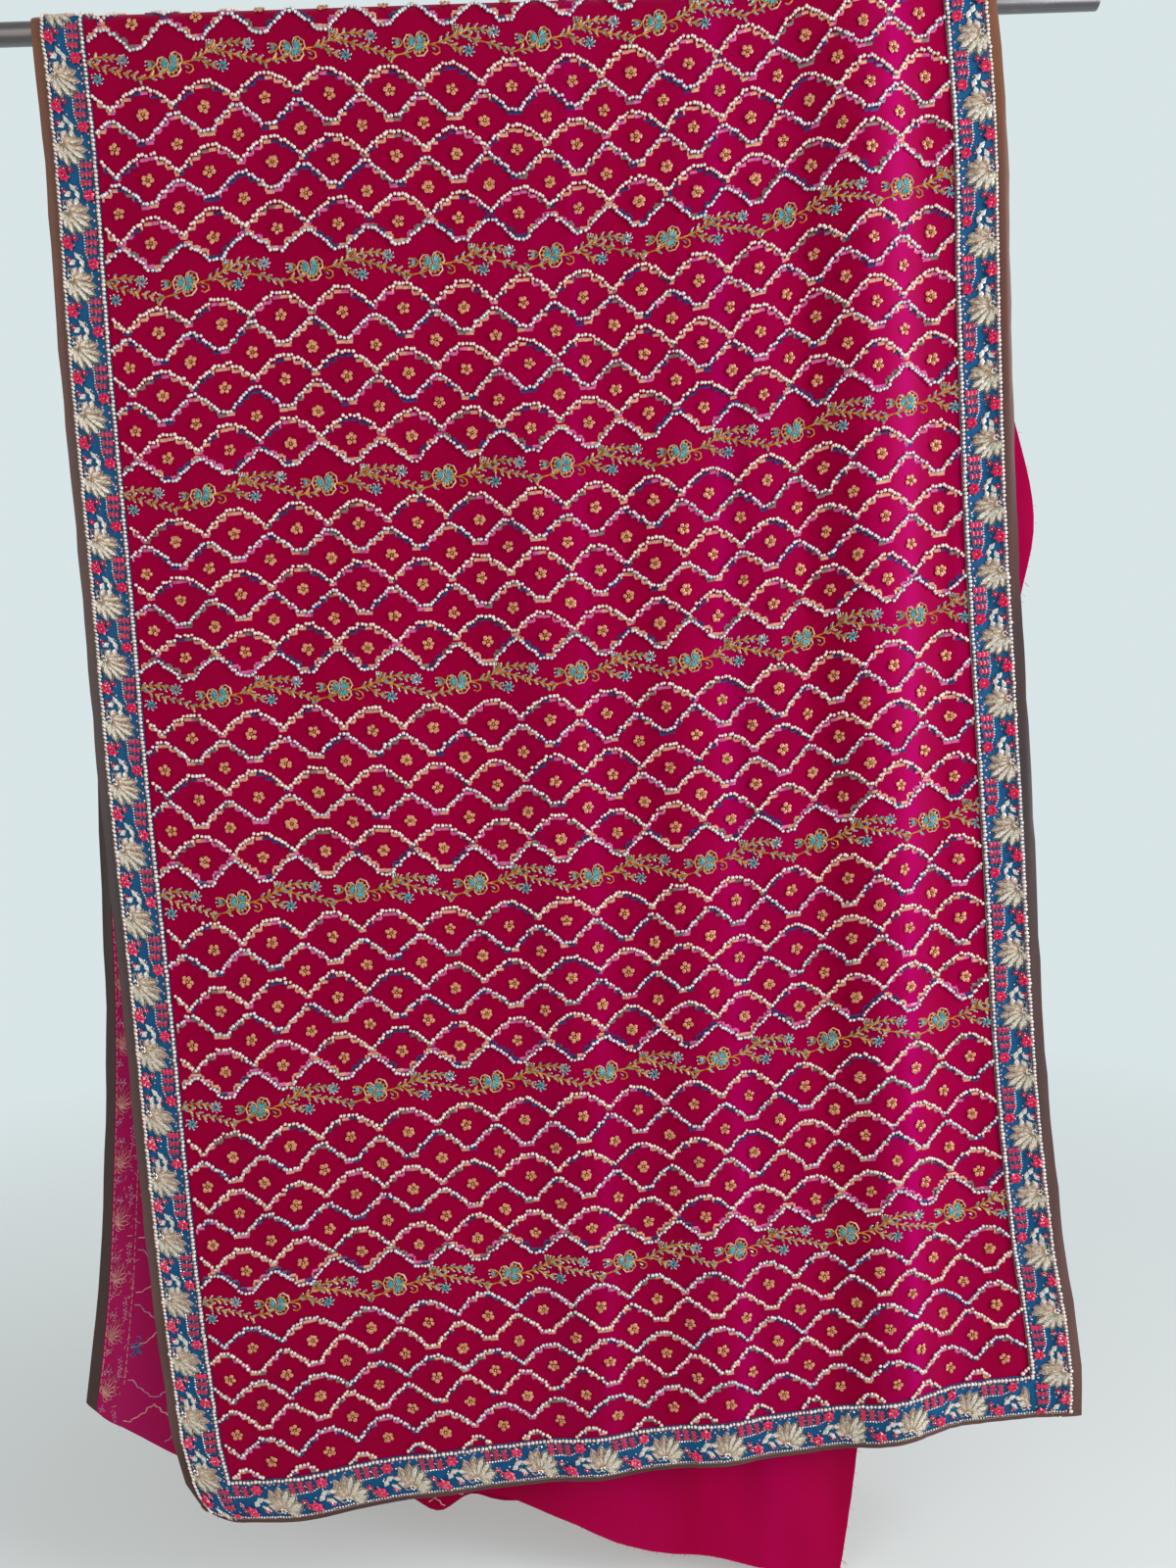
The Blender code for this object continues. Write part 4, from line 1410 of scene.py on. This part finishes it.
def ribbon_repeat(fine):
    """One repeat of the ribbon's embroidery; the plain one leaves out the smallest beads."""
    motif = motif_of(RIBBON_WORK)
    for angle, length in IVORY_PETALS:
        lotus_petal(motif, "metal", "ivory", angle, length, 8.6)
    for angle, length in ROSY_PETALS:
        lotus_petal(motif, "rose", "metal", angle, length, 7.6)
    for angle, length in INNER_PETALS if fine else ():
        lotus_petal(motif, "cord", "ivory", angle, length, 6.0)
    fan_out(motif["white"], SEED, LOTUS_BASE, np.radians(LOTUS_SEEDS), 2.6, 1.2, 0.8 * MM)
    motif["metal"].cord(placed(SCROLL, LOTUS_BASE), 1.9 * MM, 1.3 * MM)
    for s, t in CLUSTERS:
        pink_cluster(motif, s, t, fine)
    for s, t, size in FLOWERS:
        little_flower(motif, "pink", s, t, size)
    for s, t in SMALL_FLOWERS:
        little_flower(motif, "seed", s, t, 0.8, 5)
    for s, t, angle in LEAVES:
        lean = math.radians(angle) + rng.normal(0.0, 0.12)
        sew_on(motif["leaf"], RICE, (s, t), lean, (1.45, 1.75, 1.0))
        if fine:
            motif["cord"].cord(placed(LEAF_LOOP, (s, t), lean), 1.1 * MM, 1.6 * MM)
    motif["white"].scatter(SEED, *(thread_beads(np.array(BEAD_CHAIN), BEAD_CHAIN_STEP) * MM).T, 0.0, 1.15)
    for finish, count, low, high in LOOSE_SEEDS if fine else ():
        s, t = rng.uniform(1, 76, count), rng.uniform(low, high, count)
        motif[finish].scatter(SEED, s * MM, t * MM, 0.0, 1.0)
    for place in SEQUINS:
        sew_on(motif["sequin"], SEED, place, 0.0, (1.4, 1.4, 0.7))
    return motif


REPEATS = [ribbon_repeat(True) for _ in range(VERSIONS)]
PLAIN_REPEATS = [ribbon_repeat(False) for _ in range(PLAIN_VERSIONS)]
print("a ribbon repeat has", sum(len(f) for p in REPEATS[0].values() for f in p.faces), "faces")


# %% Lay the ribbon work
SIDE_PHASE = 0.840
END_PHASE = 0.4217
FRONT_MARGIN = END_BINDING_WIDTH + 2 * MM
FRONT_REPEATS = range(-12, 15)
BACK_REPEATS = range(11, 38)
END_REPEATS = range(-6, 10)


def beside_edge(start, left=True, squeeze=1.0):
    """A function that puts a ribbon's work along a long edge, up to v = start."""
    def place(points):
        s, t, height = points.T
        edge = BINDING_WIDTH + t * squeeze
        return np.column_stack([edge if left else SAREE_WIDTH - edge, start - s, height])

    return place


def lay_side_ribbon(work, left, wanted):
    """The repeats of one long ribbon on one side of the rod."""
    def keep(u, v):
        return (v > FRONT_MARGIN) & (v < back_end(u) - 3 * MM) & (is_front(u, v) == wanted)

    versions = REPEATS if wanted else PLAIN_REPEATS
    for n in FRONT_REPEATS if wanted else BACK_REPEATS:
        motif = versions[int(rng.integers(len(versions)))]
        place = beside_edge(SIDE_PHASE + n * RIBBON_REPEAT, left)
        lay(work, motif, place, keep, mirrored=not left)


def lay_end_ribbon(work):
    """The repeats across the front end, between the two long ribbons."""
    stretch = (END_RIBBON_REPEAT / RIBBON_REPEAT, 1, 1)

    def keep(u, v):
        return (u > FIELD_LEFT + 1 * MM) & (u < FIELD_RIGHT - 1 * MM)

    for n in END_REPEATS:
        shift = (END_PHASE + n * END_RIBBON_REPEAT, END_BINDING_WIDTH, 0.0)
        motif = REPEATS[int(rng.integers(len(REPEATS)))]
        lay(work, motif, lambda points, shift=shift: points * stretch + shift, keep)


for side, wanted in (("front", True), ("back", False)):
    ribbon_work = motif_of(RIBBON_WORK)
    lay_side_ribbon(ribbon_work, True, wanted)
    lay_side_ribbon(ribbon_work, False, wanted)
    if wanted:
        lay_end_ribbon(ribbon_work)
    for finish, patch in ribbon_work.items():
        if patch.count:
            patch.hung(f"ribbon_{finish}_{side}", RIBBON_WORK[finish], "ribbon_ground", RIBBON_TOP)

# %% [markdown]
# Pearls edge the ribbon on both sides, in straight rows with a thread beside each.
# A row is one line of flat places at even steps, each strayed a little sideways.

# %% Pearl rows
# Rows along a long ribbon: (distance from its outer edge, size, step)
SIDE_PEARLS = ((2.3 * MM, 0.94, 4.8 * MM), (RIBBON_WIDTH - 2.1 * MM, 0.97, 4.9 * MM))

# Rows along the end: (v, how far in from the binding it starts, size, step)
END_PEARLS = (
    (END_BINDING_WIDTH + RIBBON_WIDTH - 2.2 * MM, RIBBON_WIDTH - 2 * MM, 0.95, 4.8 * MM),
    (END_BINDING_WIDTH + 1.6 * MM, 4 * MM, 0.52, 3.5 * MM),
)
PEARL_STRAY = 0.32 * MM
PEARL_SPREAD = 0.08
THREAD_ASIDE = 2.6 * MM
THREAD_STEP = 26 * MM


def pearl_row(patch, thread, along_v, at, low, high, step, size, shape):
    """A row of pearls from low to high, and the thread beside it."""
    places = np.arange(low, high, step)
    other = at + rng.normal(0.0, PEARL_STRAY, len(places))
    u, v = (other, places) if along_v else (places, other)
    patch.scatter(shape, u, v, 0.0, rng.normal(size, PEARL_SPREAD * size, len(places)))
    line = np.linspace(low, high, max(int((high - low) / THREAD_STEP), 2))
    aside = np.full_like(line, at - THREAD_ASIDE)
    thread.cord(np.column_stack([aside, line] if along_v else [line, aside]), 1.6 * MM, 1.0 * MM)


def edge_pearls(side, shape):
    """Both rows of both long ribbons, and those of the end."""
    pearls, thread = Patch(), Patch()
    for left in (True, False):
        for inset, size, step in SIDE_PEARLS:
            at = BINDING_WIDTH + inset
            at = at if left else SAREE_WIDTH - at
            here = np.array([at])
            low = FRONT_MARGIN if inset < RIBBON_WIDTH / 2 else FIELD_BOTTOM
            high = float(front_length(here)[0]) + OVER_LENGTH / 2
            if side == "back":
                low, high = high, float(back_end(here)[0]) - 2 * MM
            pearl_row(pearls, thread, True, at, low, high, step, size, shape)
    for at, inset, size, step in END_PEARLS if side == "front" else ():
        low, high = BINDING_WIDTH + inset, SAREE_WIDTH - BINDING_WIDTH - inset
        pearl_row(pearls, thread, False, at, low, high, step, size, shape)
    pearls.hung(f"edge_pearls_{side}", CREAM_PEARL, "ribbon_ground", RIBBON_TOP)
    thread.hung(f"edge_thread_{side}", TAUPE_THREAD, "ribbon_ground", RIBBON_TOP)


edge_pearls("front", FINE_BEAD)
edge_pearls("back", PLAIN_BEAD)

# %% [markdown]
# The wrong side of the back fall shows at the lower left and below the hem. There
# the work appears as its threads only: stepped lines, rosettes and the lotus
# outlines, in dull peach and mauve with a little blue. Thin cords laid on the
# inside do this. The edge curls away from the viewer, so the couching is drawn
# narrower than the ribbon.

# %% Wrong side of the back fall
DULL_PEACH = bead_finish("dull_peach", (0.50, 0.20, 0.17), (0.82, 0.46, 0.40), 0.6, 0.0, 0.0)
DULL_MAUVE = bead_finish("dull_mauve", (0.38, 0.14, 0.24), (0.62, 0.36, 0.45), 0.6, 0.0, 0.0)
WRONG_BLUE = bead_finish("wrong_blue", (0.01, 0.07, 0.25), (0.05, 0.20, 0.45), 0.6, 0.0, 0.0)

# What shows of it: some way below the rod, at the left edge or close to the raw end
WRONG_FROM = 0.25
WRONG_ROW_FROM = 0.26
WRONG_LEFT = 0.17
WRONG_BOTTOM = 0.03
WRONG_SQUEEZE = 0.66
WRONG_FIELD = BINDING_WIDTH + WRONG_SQUEEZE * RIBBON_WIDTH
WRONG_TALL = 0.5 * MM
WRONG_REPEATS = range(20, 38)
LINE_DROP = 3 * MM
ROSETTE_MARGIN = 6 * MM
STRAY_STITCHES = 170
STRAY_REACH = 0.62
PEACH_STITCH = 0.7
BLOT_THREADS = 9


def shows_behind(u, v):
    """The parts of the wrong side that can be seen past the front fall."""
    far = back_end(np.clip(u, 0.0, SAREE_WIDTH)) - v
    on_back = v > front_length(u) + OVER_LENGTH + WRONG_FROM
    return on_back & (far > 3 * MM) & ((u < WRONG_LEFT) | (far < WRONG_BOTTOM))


def wrong_side():
    """Threads of the lines, flowers and ribbons, seen from behind."""
    work = motif_of(("peach", "mauve", "blue"))
    turns = np.linspace(0, 2.2 * math.tau, 12)
    rosette = np.column_stack([np.cos(turns), np.sin(turns)]) * (5.5 - turns[:, None] * 0.2) * MM
    for top, kind, colour, _ in line_rows():
        path = whole_line(kind) + (0.0, top - LINE_DROP)
        path = path + rng.normal(0.0, 0.4 * MM, path.shape)
        finish = "peach" if colour == "cream" else "mauve"
        for start in range(0, len(path) - 2, 2):
            piece = path[start:start + 3]
            if shows_behind(*piece.T).all() and (piece[:, 0] > WRONG_FIELD).all():
                work[finish].cord(piece, 1.5 * MM, WRONG_TALL)
        for cell in range(PERIODS) if kind == "arch" else ():
            place = np.array([FIRST_CUSP + (cell + 0.5) * PERIOD, top - CELL_FLOWER])
            u, v = place[:1], place[1:]
            if shows_behind(u, v)[0] and in_field(u, v, ROSETTE_MARGIN)[0]:
                work["peach"].cord(place + rosette, 1.2 * MM, WRONG_TALL)
    return work


def wrong_ribbon(work):
    """Couching of the left ribbon, seen from behind."""
    loops = motif_of(("peach", "mauve", "blue"))
    for angle, length in IVORY_PETALS + ROSY_PETALS:
        loop = ((0, 0), (-3.6, 0.55 * length), (0, length), (3.6, 0.55 * length), (0, 0))
        loops["peach"].cord(placed(loop, LOTUS_BASE, math.radians(angle)), 1.2 * MM, WRONG_TALL)
    for place in CLUSTERS + SMALL_FLOWERS:
        fan_out(loops["mauve"], BUGLE, place, np.arange(4) * math.tau / 4 + 0.4, 0.2, (0.8, 0.9, 0.3))
    for n in WRONG_REPEATS:
        lay(work, loops, beside_edge(SIDE_PHASE + n * RIBBON_REPEAT, squeeze=WRONG_SQUEEZE), shows_behind)
    for _ in range(STRAY_STITCHES):
        v = back_end(0.03) - rng.uniform(0.01, STRAY_REACH)
        u = rng.uniform(BINDING_WIDTH + 2 * MM, WRONG_FIELD)
        lean = rng.choice([0.0, math.pi / 2]) + rng.normal(0.0, 0.5)
        reach = rng.uniform(3.0, 8.0) * MM
        ends = np.array([(u, v), (u + reach * math.cos(lean), v + reach * math.sin(lean))])
        if shows_behind(*ends.T).all() and (ends[:, 0] > BINDING_WIDTH + 1 * MM).all():
            work["peach" if rng.random() < PEACH_STITCH else "mauve"].cord(ends, 1.0 * MM, WRONG_TALL)
    for inset in (2.2 * MM, WRONG_SQUEEZE * RIBBON_WIDTH - 1.0 * MM):
        u = BINDING_WIDTH + inset
        for v in np.arange(front_length(0.0) + OVER_LENGTH + WRONG_ROW_FROM, back_end(0.0) - 8 * MM, 9 * MM):
            work["peach"].cord(np.array([(u, v), (u, v + 6 * MM)]), 1.1 * MM, WRONG_TALL)
    blot = np.array([0.052, float(back_end(0.05)) - 0.105])
    for _ in range(BLOT_THREADS):
        path = blot + np.cumsum(rng.normal(0.0, 4.5 * MM, (5, 2)), axis=0)
        work["blue"].cord(path, 1.3 * MM, WRONG_TALL)


wrong_work = wrong_side()
wrong_ribbon(wrong_work)
for finish, material in (("peach", DULL_PEACH), ("mauve", DULL_MAUVE), ("blue", WRONG_BLUE)):
    wrong_work[finish].hung(f"wrong_side_{finish}", material, "embroidered_silk", inside=True)

# %% [markdown]
# Raw silk frays. Loose pink threads hang from the plain length's open edge and from
# its corner, and a few lie on the ribbons. Each is a thin three-sided cord.

# %% Frayed edge and loose threads
LOOSE_SILK = bead_finish("loose_silk", (0.50, 0.004, 0.10), (0.80, 0.03, 0.24), 0.5, 0.0, 0.0)
EDGE_THREADS = 150
CORNER_THREADS = 70
FRAY_WIDTH = 0.45 * MM
LOOSE_PLACES = ((1.095, 1.40), (1.100, 0.95), (1.085, 0.62), (0.045, 1.05))


def free_cord(patch, path):
    """A three-sided thread along a path in space."""
    along = unit(np.gradient(path, axis=0))
    side = unit(np.cross(along, (0.0, 1.0, 0.0)))
    other = np.cross(along, side)
    angles = np.arange(3) * math.tau / 3
    ring = [path + FRAY_WIDTH / 2 * (math.cos(a) * side + math.sin(a) * other) for a in angles]
    patch.add(np.stack(ring, 1).reshape(-1, 3), cord_faces(len(path)))


def on_plain_back(across, share):
    """A point of the plain length's back fall, at a share of its length."""
    run = PLAIN_FRONT_DOWN + PLAIN_OVER + PLAIN_LONGEST * share
    return plain_point(np.array([across]), np.array([run]))[0]


def sew_fray():
    """Threads along the open edge of the plain length and round its corner."""
    patch = Patch()
    for _ in range(EDGE_THREADS):
        start = on_plain_back(1.0, rng.uniform(0.10, 1.0))
        steps = np.linspace(0.0, 1.0, 5)[:, None]
        reach = rng.uniform(2.0, 7.0) * MM
        way = np.array([reach, rng.normal(0.0, 0.8 * MM), -reach * rng.uniform(-0.4, 0.9)])
        sag = np.array([0.0, 0.0, -reach * 0.5])
        free_cord(patch, start + steps * way + steps ** 2 * sag - (0.5 * MM, 0.0, 0.0))
    for _ in range(CORNER_THREADS):
        start = on_plain_back(rng.uniform(0.55, 1.0), 1.0)
        steps = np.linspace(0.0, 1.0, 4)[:, None]
        reach = rng.uniform(1.5, 4.0) * MM
        free_cord(patch, start + steps * (rng.normal(0.0, 1.0 * MM), rng.normal(0.0, 0.5 * MM), -reach))
    return patch


fray = sew_fray()
new_piece("frayed_edge", np.concatenate(fray.points), np.concatenate(fray.faces), LOOSE_SILK)
loose = Patch()
for u, v in LOOSE_PLACES:
    drift = np.cumsum(rng.normal(0.0, 3.0 * MM, (8, 2)), axis=0)
    loose.cord(drift + (u, v), 0.7 * MM, 0.6 * MM, 0.2 * MM)
loose.hung("loose_threads", LOOSE_SILK, "embroidered_silk", RIBBON_TOP)

# %% [markdown]
# The rod is a plain steel tube with open ends. A cylinder without caps gets a wall,
# and the sharp rims are eased. Its finish is brushed along the tube and scuffed.

# %% Steel tube
SCUFF_STOPS = ((0.0, (0, 0, 0)), (0.60, (0, 0, 0)), (0.72, (1, 1, 1)))
STEEL_DARK = (0.10, 0.095, 0.10)
STEEL_LIGHT = (0.25, 0.24, 0.245)
STEEL_SCUFFED = (0.36, 0.34, 0.33)


def steel():
    """Pewter-grey brushed steel."""
    shader = Shader("brushed_tube", Metallic=1.0, Specular_IOR_Level=0.5)
    brushing = shader.noise((3.0, 500.0, 500.0), 3.0)
    clouds = shader.noise((9.0, 30.0, 30.0), 3.0)
    scuffs = shader.ramp(SCUFF_STOPS, shader.noise((40.0, 160.0, 160.0), 4.0))
    brushed = shader.blend(brushing, STEEL_DARK, STEEL_LIGHT)
    worn = shader.blend(scuffs * 0.35, brushed, STEEL_SCUFFED)
    shader.feed(Base_Color=worn, Roughness=brushing * 0.18 + clouds * 0.22 + 0.16)
    shader.bump(brushing, 0.18, 0.0002)
    return shader.material


ROD_LOW, ROD_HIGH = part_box("rod")
TUBE_WALL = 1.5 * MM
TUBE_SIDES = 72
start_shape()
bpy.ops.mesh.primitive_cylinder_add(
    vertices=TUBE_SIDES, radius=ROD_RADIUS, depth=ROD_HIGH[0] - ROD_LOW[0], end_fill_type="NOTHING",
    location=((ROD_LOW[0] + ROD_HIGH[0]) / 2, 0, 0), rotation=(0, math.pi / 2, 0),
)
tube = bpy.context.object
tube.name = "steel_tube"
bpy.ops.object.transform_apply(location=True, rotation=True, scale=True)
wall = tube.modifiers.new("wall", "SOLIDIFY")
wall.thickness = TUBE_WALL
wall.offset = -1.0
bpy.ops.object.modifier_apply(modifier=wall.name)
rim = tube.modifiers.new("rim", "BEVEL")
rim.width = 0.4 * MM
rim.segments = 2
rim.limit_method = "ANGLE"
bpy.ops.object.modifier_apply(modifier=rim.name)
bpy.ops.object.shade_smooth_by_angle(angle=math.radians(40))
tube.data.materials.append(steel())
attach(tube, "root")
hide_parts("rod")
print("tube", len(tube.data.polygons), "faces")

# %% [markdown]
# The setting: a plain pale floor, a bright cool window at the right, a warmer
# bounce at the left, a soft lamp at the back, and a pale surround that is brighter
# behind the cloth.

# %% Floor and light
FLOOR_SIZE = 14.0
FLOOR_BELOW = 0.010
MIDDLE = (0.67, 0.0, -0.9)
SURROUND_BEFORE = (0.46, 0.47, 0.47)
SURROUND_BEHIND = (0.690, 0.780, 0.795)
SURROUND_TURN = 0.35

# Lights: (name, place, width and height, power, colour)
LIGHTS = (
    ("window", (3.0, -1.15, -0.3), (1.0, 2.2), 66.0, (0.93, 0.97, 1.0)),
    ("bounce", (-1.2, -2.4, -0.3), (1.6, 2.2), 22.0, (1.0, 0.95, 0.88)),
    ("behind", (0.4, 2.4, 0.3), (2.0, 2.0), 16.0, (1.0, 0.98, 0.95)),
)


def plain_floor():
    """A matt pale floor that thins out with distance, so no horizon shows."""
    shader = Shader("pale_floor", Base_Color=(0.66, 0.66, 0.65), Roughness=0.8, Specular_IOR_Level=0.1)
    away = shader.node("ShaderNodeVectorMath", {"operation": "LENGTH"}, [shader.place()], "Value")
    return shader.feed(Alpha=shader.between(away, 0.4, 2.6, 1.0, 0.0)).material


start_shape()
bpy.ops.mesh.primitive_plane_add(size=FLOOR_SIZE, location=(MIDDLE[0], 0.0, CAD_BOUNDS[0][2] - FLOOR_BELOW))
floor = bpy.context.object
floor.name = "floor"
floor.data.materials.append(plain_floor())


def area_light(name, place, size, power, colour):
    """A soft rectangle of light that faces the middle of the cloth."""
    light = bpy.data.lights.new(name, "AREA")
    light.shape = "RECTANGLE"
    light.size, light.size_y = size
    light.energy = power
    light.color = colour
    lamp = bpy.data.objects.new(name, light)
    bpy.context.scene.collection.objects.link(lamp)
    aim = Vector(MIDDLE) - Vector(place)
    lamp.matrix_world = Matrix.Translation(place) @ aim.to_track_quat("-Z", "Y").to_matrix().to_4x4()


def pale_surround():
    """A surround that is bright behind the cloth and dimmer on the viewer's side."""
    world = bpy.data.worlds.new("pale_surround")
    bpy.context.scene.world = world
    world.use_nodes = True
    tree = world.node_tree
    where = tree.nodes.new("ShaderNodeTexCoord")
    parts = tree.nodes.new("ShaderNodeSeparateXYZ")
    ramp = tree.nodes.new("ShaderNodeValToRGB")
    stops = ((0.0, SURROUND_BEFORE), (SURROUND_TURN, SURROUND_BEHIND))
    for element, (at, colour) in zip(ramp.color_ramp.elements, stops):
        element.position = at
        element.color = (*colour, 1.0)
    tree.links.new(where.outputs["Generated"], parts.inputs[0])
    tree.links.new(parts.outputs["Y"], ramp.inputs["Fac"])
    tree.links.new(ramp.outputs["Color"], tree.nodes["Background"].inputs["Color"])


for light_settings in LIGHTS:
    area_light(*light_settings)
pale_surround()


bpy.context.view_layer.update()
meshes = [piece for piece in bpy.data.objects if piece.type == "MESH" and not piece.hide_render]
print("triangles in all", sum(len(piece.data.polygons) for piece in meshes))
